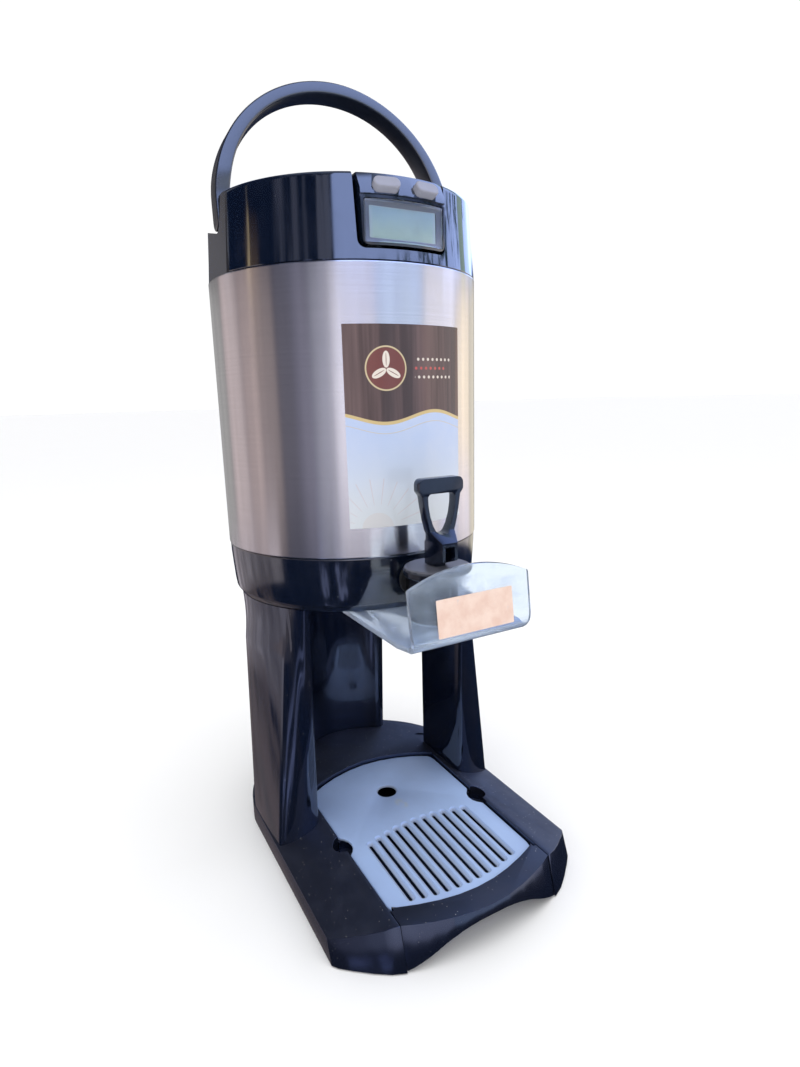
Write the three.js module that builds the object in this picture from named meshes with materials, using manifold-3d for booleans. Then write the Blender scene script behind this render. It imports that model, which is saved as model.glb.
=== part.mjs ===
// Insulated beverage dispenser: a vacuum-insulated steel body with a bail handle and a display in its lid,
// on a two-legged stand with a rear column and a drip tray. Millimetres, +Z up, the front faces -Y.
// All dimensions are laid out about the body's axis; the group is moved at the end so that the origin is
// the middle of the footprint on the floor.
import * as THREE from "three";
import { mergeVertices } from "three/addons/utils/BufferGeometryUtils.js";
import Module from "manifold-3d";

const wasm = await Module();
wasm.setup();

// ---------------------------------------------------------------- driving dimensions (mm)
const GAP = 0.3; // clearance between pieces that touch
const SEG = 48; // facets round the large turned pieces
const R_BODY = 114; // steel body, outside radius
const Z_BODY_LOW = 277.8;
const Z_BODY_TOP = 495;
const Z_LID_LOW = Z_BODY_TOP + 0.3;
const Z_LID_TOP = 554;
const Z_COLLAR_LOW = 232.6; // underside of the bottom collar
const R_COLLAR_LOW = 107.6;
const Z_DECK = 32.6; // top of the base
const Z_COVER_TOP = 29.6; // top of the drip cover
const X_LEG_IN = 74; // inner wall of each leg
const X_BASE = 113.2; // half width of the base
const X_SEAM = 69.1; // inner walls of the base arms
const HANDLE_PIVOT = [-0.7, 538]; // y, z
const HANDLE_LEAN = 3.6; // degrees, leaning back
const LEVER_PIVOT = [-148, 284]; // y, z
const TAP_Y = -148;
const TAP_Z = 257.5;
const Y_OFFSET = 53; // from the body axis to the middle of the footprint

// ---------------------------------------------------------------- helpers
function solid(geometry) {
  const g = geometry.clone();
  g.deleteAttribute("normal");
  g.deleteAttribute("uv");
  const m = mergeVertices(g, 1e-4);
  const tri = new Uint32Array(m.index.array);
  const make = (t) =>
    new wasm.Manifold(
      new wasm.Mesh({
        numProp: 3,
        vertProperties: m.attributes.position.array,
        triVerts: t,
      }),
    );
  let s = make(tri);
  if (s.volume() < 0) {
    for (let i = 0; i < tri.length; i += 3)
      [tri[i + 1], tri[i + 2]] = [tri[i + 2], tri[i + 1]];
    s = make(tri);
  }
  return s;
}
const union = (...s) => s.reduce((a, b) => a.add(b));
const cut = (a, ...s) => s.reduce((x, b) => x.subtract(b), a);

function toGeometry(s) {
  const m = s.getMesh(),
    n = m.numProp,
    v = new Float32Array(m.numVert * 3);
  for (let i = 0; i < m.numVert; i++)
    v.set(m.vertProperties.subarray(i * n, i * n + 3), i * 3);
  const g = new THREE.BufferGeometry()
    .setAttribute("position", new THREE.BufferAttribute(v, 3))
    .setIndex(new THREE.BufferAttribute(new Uint32Array(m.triVerts), 1));
  g.computeVertexNormals();
  return g;
}
const box = (x0, x1, y0, y1, z0, z1) =>
  solid(
    new THREE.BoxGeometry(x1 - x0, y1 - y0, z1 - z0).translate(
      (x0 + x1) / 2,
      (y0 + y1) / 2,
      (z0 + z1) / 2,
    ),
  );
// Turned solid about Z from a profile of [r, z]; closed is true for a ring.
function turned(profile, { seg = SEG, closed = false, phase = 0 } = {}) {
  const pts = profile.map(([r, z]) => new THREE.Vector2(r, z));
  if (closed) pts.push(pts[0].clone());
  return solid(
    new THREE.LatheGeometry(pts, seg).rotateX(Math.PI / 2).rotateZ(phase),
  );
}
const rod = (r, z0, z1, x = 0, y = 0, seg = 24) =>
  solid(
    new THREE.CylinderGeometry(r, r, z1 - z0, seg)
      .rotateX(Math.PI / 2)
      .translate(x, y, (z0 + z1) / 2),
  );
const rodX = (r, x0, x1, y, z, seg = 24) =>
  solid(
    new THREE.CylinderGeometry(r, r, x1 - x0, seg)
      .rotateZ(Math.PI / 2)
      .translate((x0 + x1) / 2, y, z),
  );
const rodY = (r, y0, y1, x, z, seg = 24) =>
  solid(
    new THREE.CylinderGeometry(r, r, y1 - y0, seg).translate(
      x,
      (y0 + y1) / 2,
      z,
    ),
  );
// Plan outline [x, y] raised from z0 to z1, with an optional map of each point.
function raised(points, z0, z1, { holes = [], steps = 1, map = null } = {}) {
  const s = new THREE.Shape(points.map(([x, y]) => new THREE.Vector2(x, y)));
  for (const h of holes)
    s.holes.push(new THREE.Path(h.map(([x, y]) => new THREE.Vector2(x, y))));
  const g = new THREE.ExtrudeGeometry(s, {
    depth: z1 - z0,
    steps,
    bevelEnabled: false,
  }).translate(0, 0, z0);
  if (map) {
    const p = g.attributes.position;
    for (let i = 0; i < p.count; i++) {
      const [x, y, z] = map(p.getX(i), p.getY(i), p.getZ(i));
      p.setXYZ(i, x, y, z);
    }
  }
  return solid(g);
}
// Front outline [x, z] run along y from y0 to y1.
const alongY = (points, y0, y1, opt = {}) =>
  raised(points, -y1, -y0, {
    ...opt,
    map: (x, y, z) => {
      const p = [x, -z, y];
      return opt.map ? opt.map(...p) : p;
    },
  });
// Side outline [y, z] run along x from x0 to x1.
const alongX = (points, x0, x1, opt = {}) =>
  raised(points, x0, x1, {
    ...opt,
    map: (x, y, z) => {
      const p = [z, x, y];
      return opt.map ? opt.map(...p) : p;
    },
  });
function arc(cx, cy, r, a0, a1, n) {
  const out = [];
  for (let i = 0; i <= n; i++) {
    const a = ((a0 + ((a1 - a0) * i) / n) * Math.PI) / 180;
    out.push([cx + r * Math.cos(a), cy + r * Math.sin(a)]);
  }
  return out;
}
// Rounds the corners of a polygon: radii per corner, n pieces per corner.
function rounded(points, radii, n = 4) {
  const out = [];
  const L = points.length;
  for (let i = 0; i < L; i++) {
    const p = points[i],
      a = points[(i + L - 1) % L],
      b = points[(i + 1) % L];
    const r = Array.isArray(radii) ? radii[i] : radii;
    if (!r) {
      out.push(p);
      continue;
    }
    const ua = [a[0] - p[0], a[1] - p[1]],
      ub = [b[0] - p[0], b[1] - p[1]];
    const la = Math.hypot(...ua),
      lb = Math.hypot(...ub);
    const da = [ua[0] / la, ua[1] / la],
      db = [ub[0] / lb, ub[1] / lb];
    const ang = Math.acos(
      Math.max(-1, Math.min(1, da[0] * db[0] + da[1] * db[1])),
    );
    const t = Math.min(r / Math.tan(ang / 2), 0.49 * la, 0.49 * lb);
    const rr = t * Math.tan(ang / 2);
    const bis = [da[0] + db[0], da[1] + db[1]];
    const lbis = Math.hypot(...bis);
    const d = rr / Math.sin(ang / 2);
    const c = [p[0] + (bis[0] / lbis) * d, p[1] + (bis[1] / lbis) * d];
    const s0 = [p[0] + da[0] * t, p[1] + da[1] * t],
      s1 = [p[0] + db[0] * t, p[1] + db[1] * t];
    let a0 = Math.atan2(s0[1] - c[1], s0[0] - c[0]),
      a1 = Math.atan2(s1[1] - c[1], s1[0] - c[0]);
    let da01 = a1 - a0;
    while (da01 > Math.PI) da01 -= 2 * Math.PI;
    while (da01 < -Math.PI) da01 += 2 * Math.PI;
    for (let k = 0; k <= n; k++) {
      const q = a0 + (da01 * k) / n;
      out.push([c[0] + rr * Math.cos(q), c[1] + rr * Math.sin(q)]);
    }
  }
  return out;
}
const mirrorX = (pts) => pts.map(([x, y]) => [-x, y]).reverse();
const sideways = (s, k) => (k > 0 ? s : s.mirror([1, 0, 0]));
const lerp = (a, b, t) => a + (b - a) * t;
const clamp01 = (t) => Math.max(0, Math.min(1, t));
// y on a circle of radius R about (0, cy), front side
const frontArc = (x, R, cy) => cy - Math.sqrt(R * R - x * x);

const group = new THREE.Group();
group.name = "beverage_dispenser";
const COLOURS = {
  gloss_black: [0x14161b, 0.18, 0],
  stand_black: [0x1a1b20, 0.3, 0],
  base_black: [0x1c1d20, 0.5, 0],
  handle: [0x2a2d36, 0.42, 0],
  steel: [0xb9b5b2, 0.32, 1],
  inner_steel: [0xc4c4c4, 0.25, 1],
  cover: [0x8fa0bd, 0.5, 0],
  grey: [0xb9b9c4, 0.5, 0],
  lcd: [0x8fa9a6, 0.3, 0],
  clear: [0xdde6ee, 0.05, 0],
  rubber: [0x222222, 0.85, 0],
  label: [0xcfd8e8, 0.4, 0],
  sticker: [0xe9cfc4, 0.6, 0],
  board: [0x23603a, 0.6, 0],
  battery: [0x8c8f94, 0.4, 0.4],
  tube: [0xe8e8e0, 0.4, 0],
  screw: [0x9a9a9a, 0.35, 1],
};
function add(name, s, look) {
  const [color, roughness, metalness] = COLOURS[look];
  const mat = new THREE.MeshStandardMaterial({ color, roughness, metalness });
  if (look === "clear") {
    mat.transparent = true;
    mat.opacity = 0.35;
  }
  const mesh = new THREE.Mesh(toGeometry(s), mat);
  mesh.name = name;
  group.add(mesh);
}

// ================================================================= BODY
add(
  "body_shell",
  turned(
    [
      [R_BODY, Z_BODY_LOW],
      [R_BODY, Z_BODY_TOP],
      [57, Z_BODY_TOP],
      [57, Z_BODY_TOP - 1.3],
      [R_BODY - 1.2, Z_BODY_TOP - 1.3],
      [R_BODY - 1.2, Z_BODY_LOW],
    ],
    { closed: true },
  ),
  "steel",
);
// inner vessel: a floor with the outlet, a straight wall and a shoulder with the neck, welded together
add(
  "liner_floor",
  turned(
    [
      [8.2, 277.7],
      [8.2, 282.6],
      [92, 286.6],
      [103.6, 298],
      [102.4, 298.5],
      [91.5, 287.8],
      [7, 283.8],
      [7, 277.7],
    ],
    { closed: true, seg: 32 },
  ),
  "inner_steel",
);
add(
  "inner_liner",
  turned(
    [
      [103.6, 298.8],
      [103.6, 477.2],
      [102.4, 477.2],
      [102.4, 298.8],
    ],
    { closed: true, seg: 32 },
  ),
  "inner_steel",
);
add(
  "liner_shoulder",
  turned(
    [
      [103.6, 477.5],
      [103.6, 478.2],
      [54.6, 488.8],
      [54.6, 497],
      [53.4, 497],
      [53.4, 487.8],
      [101.1, 477.5],
    ],
    { closed: true, seg: 32 },
  ),
  "inner_steel",
);
add(
  "shell_base",
  turned(
    [
      [112.2, 279.2],
      [112.2, 280.6],
      [12, 280.6],
      [12, 279.2],
    ],
    { closed: true, seg: 32 },
  ),
  "inner_steel",
);
// printed card on the front of the steel body
{
  const a = 26,
    r0 = R_BODY + 0.25,
    r1 = R_BODY + 0.6;
  add(
    "label_card",
    raised(
      [...arc(0, 0, r1, -90 - a, -90 + a, 18), ...arc(0, 0, r0, -90 + a, -90 - a, 18)],
      301.5,
      452,
    ),
    "label",
  );
}

// ================================================================= LID
const lidOuter = [
  [113.8, Z_LID_LOW],
  [112.6, 511],
  [111.6, 528],
  [110.7, 544],
  [110.2, 551],
  [109.6, 552.8],
  [108, Z_LID_TOP],
];
{
  const ring = turned(
    [
      ...lidOuter,
      [62.2, Z_LID_TOP],
      [62.2, Z_LID_LOW],
      [65, Z_LID_LOW],
      [65, 551],
      [103.5, 551],
      [106.6, 546],
      [110.8, Z_LID_LOW],
    ],
    { closed: true },
  );
  const full = turned([[0, Z_LID_LOW], ...lidOuter, [0, Z_LID_TOP]]);
  // solid cheeks that carry the handle
  const cheeks = [];
  for (const k of [1, -1]) {
    const low = box(102.5, 116, -60, 60, Z_LID_LOW, 521);
    const high = box(83, 116, -40, 72, 519, Z_LID_TOP + 1);
    cheeks.push(sideways(union(low, high), k).intersect(full));
  }
  let lid = union(ring, ...cheeks);
  const cuts = [];
  for (const k of [1, -1]) {
    // flat facet over the whole height, drafted inwards towards the top
    const facet = [
      [110.5, 480],
      [125, 480],
      [125, 565],
      [105.4, 565],
    ];
    cuts.push(sideways(alongY(facet, -70, 70), k));
    // pocket of the handle's arm: a wall in front of it, open behind so that it can swing back
    const [py, pz] = HANDLE_PIVOT;
    const fan = [
      [py - 8.4, pz + 30],
      [py - 8.4, pz - 1],
      ...arc(py, pz, 9.2, 205, 300, 5),
      [py + 66, pz + 6.5],
      [py + 66, pz + 30],
    ];
    cuts.push(sideways(alongX(fan, 94.8, 120), k));
    // its inner edge is bevelled for the shoulder of the handle
    const bevel = [
      [94, 533],
      [100, 533],
      [100, 560],
      [82.6, 560],
      [82.6, 555.2],
    ];
    cuts.push(sideways(alongY(bevel, py + 3, py + 66), k));
    cuts.push(sideways(rodX(4.05, 89.6, 98, py, pz, 20), k));
  }
  // opening in the front wall for the display
  const doorway = rounded(
    [
      [-37.9, Z_LID_TOP + 5],
      [-36.6, 503.2],
      [36.6, 503.2],
      [37.9, Z_LID_TOP + 5],
    ],
    [0, 6, 6, 0],
    4,
  );
  cuts.push(alongY(doorway, -125, -85.5));
  lid = cut(lid, ...cuts);
  add("top_cover", lid, "gloss_black");
}
add(
  "fill_lid",
  turned(
    [
      [61.6, 517],
      [61.6, 552.2],
      [60, 553.8],
      [55.2, 553.8],
      [52.4, 551.2],
      [14, 532.6],
      [7.1, 532],
      [7.1, 512.5],
      [57, 512.5],
    ],
    { closed: true, seg: 32 },
  ),
  "gloss_black",
);
// ring under the fill lid that reaches down into the neck and carries the gasket
add(
  "lid_plug",
  turned(
    [
      [49, 489],
      [49, 512.2],
      [45, 512.2],
      [45, 489],
    ],
    { closed: true, seg: 32 },
  ),
  "gloss_black",
);
add(
  "lid_gasket",
  turned(
    [
      [49.4, 491.4],
      [52.2, 491.4],
      [52.9, 493.2],
      [52.2, 495],
      [49.4, 495],
    ],
    { closed: true, seg: 32 },
  ),
  "rubber",
);
add(
  "fill_tube",
  turned(
    [
      [5.2, 293],
      [6.7, 293],
      [6.7, 533],
      [10, 533],
      [10, 534.4],
      [5.2, 534.4],
    ],
    { closed: true, seg: 20 },
  ),
  "tube",
);

// ---------------------------------------------------------------- handle
{
  const H = 108, // half width outside
    T_ARM = 12.75, // thickness of the arms
    RISE = 100.6,
    RISE_IN = 90.45,
    ZS = 552.8, // springing level
    N = 1.96,
    N_IN = 2.03;
  const n = 40;
  const outer = [],
    inner = [];
  for (let i = 0; i <= n; i++) {
    const t = (Math.PI * i) / n;
    const c = Math.cos(t),
      s = Math.sin(t);
    const curve = (w, h, p) => [
      w * Math.sign(c) * Math.pow(Math.abs(c), 2 / p),
      ZS + h * Math.pow(s, 2 / p),
    ];
    outer.push(curve(H, RISE, N));
    inner.push(curve(H - T_ARM, RISE_IN, N_IN));
  }
  const low = HANDLE_PIVOT[1] - 9;
  const outline = [
    [H, low],
    ...outer,
    [-H, low],
    [-(H - T_ARM), low],
    ...inner.reverse(),
    [H - T_ARM, low],
  ];
  const D = 7.5, // half depth in the lid
    D_TOP = 9.25; // half depth of the bar
  const [py, pz] = HANDLE_PIVOT;
  let arch = alongY(outline, py - D_TOP, py + D_TOP);
  const side = [
    ...arc(py, pz, D, 180, 360, 12),
    [py + D, 554],
    [py + D_TOP, 576],
    [py + D_TOP, 700],
    [py - D_TOP, 700],
    [py - D_TOP, 576],
    [py - D, 554],
  ];
  arch = arch.intersect(alongX(side, -130, 130));
  const arms = [];
  for (const k of [1, -1])
    arms.push(sideways(rodX(4.1, 90, 101.4, py, pz, 20), k));
  arch = cut(arch, ...arms);
  const lean = (HANDLE_LEAN * Math.PI) / 180;
  // lean back about the pivot
  const m = new THREE.Matrix4()
    .makeTranslation(0, py, pz)
    .multiply(new THREE.Matrix4().makeRotationX(-lean))
    .multiply(new THREE.Matrix4().makeTranslation(0, -py, -pz));
  arch = arch.transform(m.elements);
  add("carry_handle", arch, "handle");
  for (const [k, n2] of [
    [-1, "handle_pin_left"],
    [1, "handle_pin_right"],
  ])
    add(n2, sideways(rodX(4.0, 90, 101.2, py, pz, 20), k), "screw");
}

// ---------------------------------------------------------------- display
const R_DISP = 115.4; // front face of the display, about the body axis
{
  const X = 34.6,
    back = -88;
  const plan = [
    ...arc(0, 0, R_DISP, -90 - 17.6, -90 + 17.6, 10),
    [X, back],
    [-X, back],
  ];
  let h = raised(plan, 505, 553);
  const face = rounded(
    [
      [-35.25, 555],
      [-34, 505],
      [34, 505],
      [35.25, 555],
    ],
    [0, 5, 5, 0],
    4,
  );
  h = h.intersect(alongY(face, -125, -80));
  // sloping button panel, and the groove under it
  h = cut(
    h,
    turned(
      [
        [116.6, 539.4],
        [130, 539.4],
        [130, 560],
        [106, 560],
      ],
      { closed: true },
    ),
    turned(
      [
        [114.2, 536.3],
        [130, 536.3],
        [130, 538.2],
        [114.2, 538.2],
      ],
      { closed: true },
    ),
    box(-32.7, 32.7, -125, -89.8, 506.7, 535.6),
  );
  const buttons = [];
  for (const [x, name] of [
    [-16.2, "button_left"],
    [15.4, "button_right"],
  ]) {
    const tilt = 27.5; // the panel leans back by this angle
    const make = (w, hgt, d0, d1) => {
      const r = hgt / 2;
      const s = new THREE.Shape();
      s.absarc(w / 2 - r, 0, r, -Math.PI / 2, Math.PI / 2);
      s.absarc(-(w / 2 - r), 0, r, Math.PI / 2, (3 * Math.PI) / 2);
      const g = new THREE.ExtrudeGeometry(s, {
        depth: d1 - d0,
        bevelEnabled: false,
        curveSegments: 6,
      })
        .translate(0, 0, d0)
        .rotateX(Math.PI / 2) // local +z now points to -y
        .rotateX((-tilt * Math.PI) / 180)
        .rotateZ(Math.atan2(x, 112))
        .translate(x, frontArc(x, 114, 0), 543.6);
      return solid(g);
    };
    h = cut(h, make(20.7, 9.7, -6.7, 12));
    buttons.push([name, make(20, 9, -4.9, 5)]);
  }
  add("display_housing", h, "gloss_black");
  for (const [n, s] of buttons) add(n, s, "grey");
  add(
    "display_window",
    raised(
      [
        ...arc(0, 0, R_DISP - 0.2, -90 - 16.3, -90 + 16.3, 8),
        ...arc(0, 0, R_DISP - 2.2, -90 + 16.3, -90 - 16.3, 8),
      ],
      507,
      535.3,
    ),
    "clear",
  );
  add("lcd_panel", box(-29.5, 29.5, -106.4, -104.2, 508.8, 534.2), "lcd");
  add("circuit_board", box(-31.4, 31.4, -103.6, -102, 508.2, 534.8), "board");
  add(
    "battery",
    rodX(5.2, -22.3, 22.3, -95.8, 520, 20),
    "battery",
  );
}

// ================================================================= COLLAR AND TAP
{
  const outer = [
    [R_COLLAR_LOW - 1.4, Z_COLLAR_LOW],
    [R_COLLAR_LOW, Z_COLLAR_LOW + 1.4],
    [110.2, 237.5],
    [111.3, 244],
    [112.2, 256],
    [113, 268],
    [113.3, Z_BODY_LOW - GAP],
  ];
  let c = turned([
    [0, Z_COLLAR_LOW],
    ...outer,
    [110, Z_BODY_LOW - GAP],
    [109.2, 256],
    [107.4, 241],
    [105, 236.4],
    [0, 236.4],
  ]);
  c = cut(c, rodY(11.2, -125, -95, 0, TAP_Z));
  for (const k of [1, -1]) c = cut(c, rod(2.3, 225, 240, 36 * k, -89, 12));
  add("bottom_collar", c, "gloss_black");
}
{
  // pipe from the liner's spout to the back of the tap
  const path = new THREE.CatmullRomCurve3(
    [
      [0, 0, 278.4],
      [0, 0, 271.6],
      [0, -3, 264],
      [0, -9.8, 259],
      [0, -19, TAP_Z],
      [0, -84, TAP_Z],
    ].map((p) => new THREE.Vector3(...p)),
    false,
    "centripetal",
  );
  const ringShape = new THREE.Shape();
  ringShape.absarc(0, 0, 10.6, 0, 2 * Math.PI);
  const hole = new THREE.Path();
  hole.absarc(0, 0, 8.6, 0, 2 * Math.PI, true);
  ringShape.holes.push(hole);
  add(
    "outlet_pipe",
    solid(
      new THREE.ExtrudeGeometry(ringShape, {
        steps: 8,
        curveSegments: 6,
        extrudePath: path,
      }),
    ),
    "tube",
  );
}
{
  const shank = union(
    rodY(8.2, -90, -78, 0, TAP_Z, 24),
    rodY(10, TAP_Y, -88, 0, TAP_Z, 24),
  );
  const barrel = turned(
    [
      [0, 222],
      [8.6, 222],
      [9.6, 224],
      [9.8, 230],
      [15.5, 239],
      [16.5, 243],
      [16.5, 268],
      [0, 268],
    ],
    { seg: 32 },
  ).translate([0, TAP_Y, 0]);
  const cheek = box(-11, 11, TAP_Y + 8, -117.5, 250, 267.4);
  let body = union(shank, barrel, cheek);
  body = cut(
    body,
    rodY(5.4, TAP_Y, -70, 0, TAP_Z, 16),
    rod(10.4, 243, 270, 0, TAP_Y, 24),
    rod(5.6, 215, 245, 0, TAP_Y, 20),
  );
  add("tap_body", body, "gloss_black");
  const hex = (r0, r1, y0, y1, seg) =>
    cut(rodY(r1, y0, y1, 0, TAP_Z, seg), rodY(r0, y0 - 1, y1 + 1, 0, TAP_Z, 24));
  add("shank_nut", hex(10.4, 17, -106.6, -100, 6), "screw");
  add("shank_washer", hex(10.4, 14.5, -117.1, -113.7, 24), "rubber");
}
add(
  "tap_bonnet",
  (() => {
    const disc = turned(
      [
        [0, 262.5],
        [10, 262.5],
        [10, 268.3],
        [24.5, 268.3],
        [26, 269.8],
        [26, 273.4],
        [25, 275],
        [23, 275.7],
        [0, 275.7],
      ],
      { seg: 32 },
    ).translate([0, TAP_Y, 0]);
    // the ear that the lever is pinned to
    const tongue = alongX(
      [
        [TAP_Y - 5, 274],
        ...arc(LEVER_PIVOT[0], LEVER_PIVOT[1], 5, 0, 180, 8).reverse(),
        [TAP_Y + 5, 274],
      ],
      -3.7,
      3.7,
    );
    return cut(
      union(disc, tongue),
      rod(3.3, 255, 273, 0, TAP_Y, 16),
      rodX(1.7, -6, 6, LEVER_PIVOT[0], LEVER_PIVOT[1], 16),
    );
  })(),
  "gloss_black",
);
add(
  "tap_stem",
  turned(
    [
      [0, 244.8],
      [2.6, 244.8],
      [2.6, 249],
      [3, 249.4],
      [3, 269],
      [0, 269],
    ],
    { seg: 16 },
  ).translate([0, TAP_Y, 0]),
  "tube",
);
add(
  "seat_cup",
  cut(
    turned(
      [
        [0, 243.2],
        [8.6, 243.2],
        [9, 244],
        [8.4, 246.8],
        [0, 246.8],
      ],
      { seg: 20 },
    ).translate([0, TAP_Y, 0]),
    rod(2.9, 244.5, 250, 0, TAP_Y, 16),
  ),
  "rubber",
);
{
  const turns = 4,
    r = 6.2,
    z0 = 248.2,
    z1 = 261.2;
  class Coil extends THREE.Curve {
    getPoint(t, target = new THREE.Vector3()) {
      const a = t * turns * 2 * Math.PI;
      return target.set(
        r * Math.cos(a),
        TAP_Y + r * Math.sin(a),
        lerp(z0, z1, t),
      );
    }
  }
  const s = new THREE.Shape();
  s.absarc(0, 0, 0.7, 0, 2 * Math.PI);
  add(
    "tap_spring",
    solid(
      new THREE.ExtrudeGeometry(s, {
        steps: 40,
        curveSegments: 3,
        extrudePath: new Coil(),
      }),
    ),
    "screw",
  );
}
{
  // loop lever, front view
  const yf = -155.4, // front face of the loop
    bar = -147; // back of the loop
  const loop = rounded(
    [
      [-18.6, 342],
      [-18.6, 333],
      [-15.9, 329.6],
      [-14.6, 321],
      [-12.7, 311],
      [-10.6, 303],
      [-6.4, 295],
      [6.4, 295],
      [10.6, 303],
      [12.7, 311],
      [14.6, 321],
      [15.9, 329.6],
      [18.6, 333],
      [18.6, 342],
    ],
    [4.6, 3, 3, 6, 6, 5, 0, 0, 5, 6, 6, 3, 3, 4.6],
    3,
  );
  const eye = rounded(
    [
      [-11.9, 330.8],
      [-11.5, 322],
      [-10.2, 314.5],
      [-7.9, 307.5],
      [-4.2, 300.7],
      [4.2, 300.7],
      [7.9, 307.5],
      [10.2, 314.5],
      [11.5, 322],
      [11.9, 330.8],
    ],
    [3, 8, 8, 8, 4.5, 4.5, 8, 8, 8, 3],
    4,
  );
  let lever = alongY(loop, yf, bar);
  // foot: stands forward of the loop, with a slope between them
  let foot = alongX(
    [
      [-165.4, 281.9],
      [-165.4, 295.4],
      [yf, 303],
      [bar, 301],
      [-140, 293],
      [-140, 276.2],
      [-149, 276.2],
    ],
    -12,
    12,
  );
  foot = foot.intersect(
    alongY(
      [
        [-6.4, 270],
        [-6.4, 295],
        [-10.6, 303.2],
        [10.6, 303.2],
        [6.4, 295],
        [6.4, 270],
      ],
      -170,
      -130,
    ),
  );
  lever = cut(
    union(lever, foot),
    alongY(eye, -170, -130),
    // slot for the ear, open at the front and below
    box(-4.1, 4.1, -170, -141.5, 270, 292.5),
    rodX(1.62, -6.2, 8, LEVER_PIVOT[0], LEVER_PIVOT[1], 16),
  );
  add("tap_lever", lever, "gloss_black");
  add(
    "lever_pin",
    rodX(1.55, -6, 6, LEVER_PIVOT[0], LEVER_PIVOT[1], 16),
    "screw",
  );
}

// ---------------------------------------------------------------- clear guard
{
  const t = 3.8,
    zs = Z_COLLAR_LOW - GAP; // top of the shelf
  const yf = (z) => -196.1 + 0.128 * (z - 239); // front face of the plate, leaning back
  const rb = 11, // outside radius of the bend
    split = -185;
  const z1 = zs - t;
  const side = rounded(
    [
      [-82, zs],
      [-82, z1],
      [yf(z1), z1],
      [yf(290), 290],
      [yf(290) + t, 290],
      [yf(zs) + t, zs],
    ],
    [0, 0, rb, 0, 0, rb - t],
    8,
  );
  let g = alongX(side, -50.4, 50.4);
  // arched top and eased lower corners of the plate, seen from the front
  const top = [];
  for (let i = 0; i <= 14; i++) {
    const x = 50.4 - (100.8 * i) / 14;
    top.push([x, 285 - 11 * Math.pow(Math.abs(x) / 50.4, 2)]);
  }
  const frontView = [
    [-50.4, 243],
    [-49.4, 236],
    [-46.5, 225],
    [46.5, 225],
    [49.4, 236],
    [50.4, 243],
    ...top,
  ];
  const plate = alongY(frontView, -210, split);
  const shelfView = raised(
    [
      [-47.4, split],
      [47.4, split],
      [50.4, split + 12],
      [50.4, -70],
      [-50.4, -70],
      [-50.4, split + 12],
    ],
    220,
    300,
  );
  g = g.intersect(union(plate, shelfView));
  g = cut(g, rod(13, 220, 240, 0, TAP_Y, 24));
  for (const k of [1, -1]) g = cut(g, rod(2.5, 220, 240, 36 * k, -89, 12));
  add("splash_guard", g, "clear");
  add(
    "guard_label",
    alongX(
      [
        [yf(238.8) - 1.3, 238.8],
        [yf(265.3) - 1.3, 265.3],
        [yf(265.3) - 0.95, 265.3],
        [yf(238.8) - 0.95, 238.8],
      ],
      -30.8,
      33.4,
    ),
    "sticker",
  );
  for (const [k, n] of [
    [-1, "guard_screw_left"],
    [1, "guard_screw_right"],
  ])
    add(
      n,
      turned(
        [
          [0, 226],
          [3, 226],
          [4.4, 227],
          [4.4, 228.2],
          [2, 228.2],
          [2, 243],
          [0, 244.6],
        ],
        { seg: 16 },
      ).translate([36 * k, -89, 0]),
      "screw",
    );
}

// ================================================================= STAND
const SLOPE = 0.34; // fall of the base top outside the crease
const X_CREASE = 72;
const slopeZ = (x) => Z_DECK - SLOPE * Math.max(0, Math.abs(x) - X_CREASE);
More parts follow.
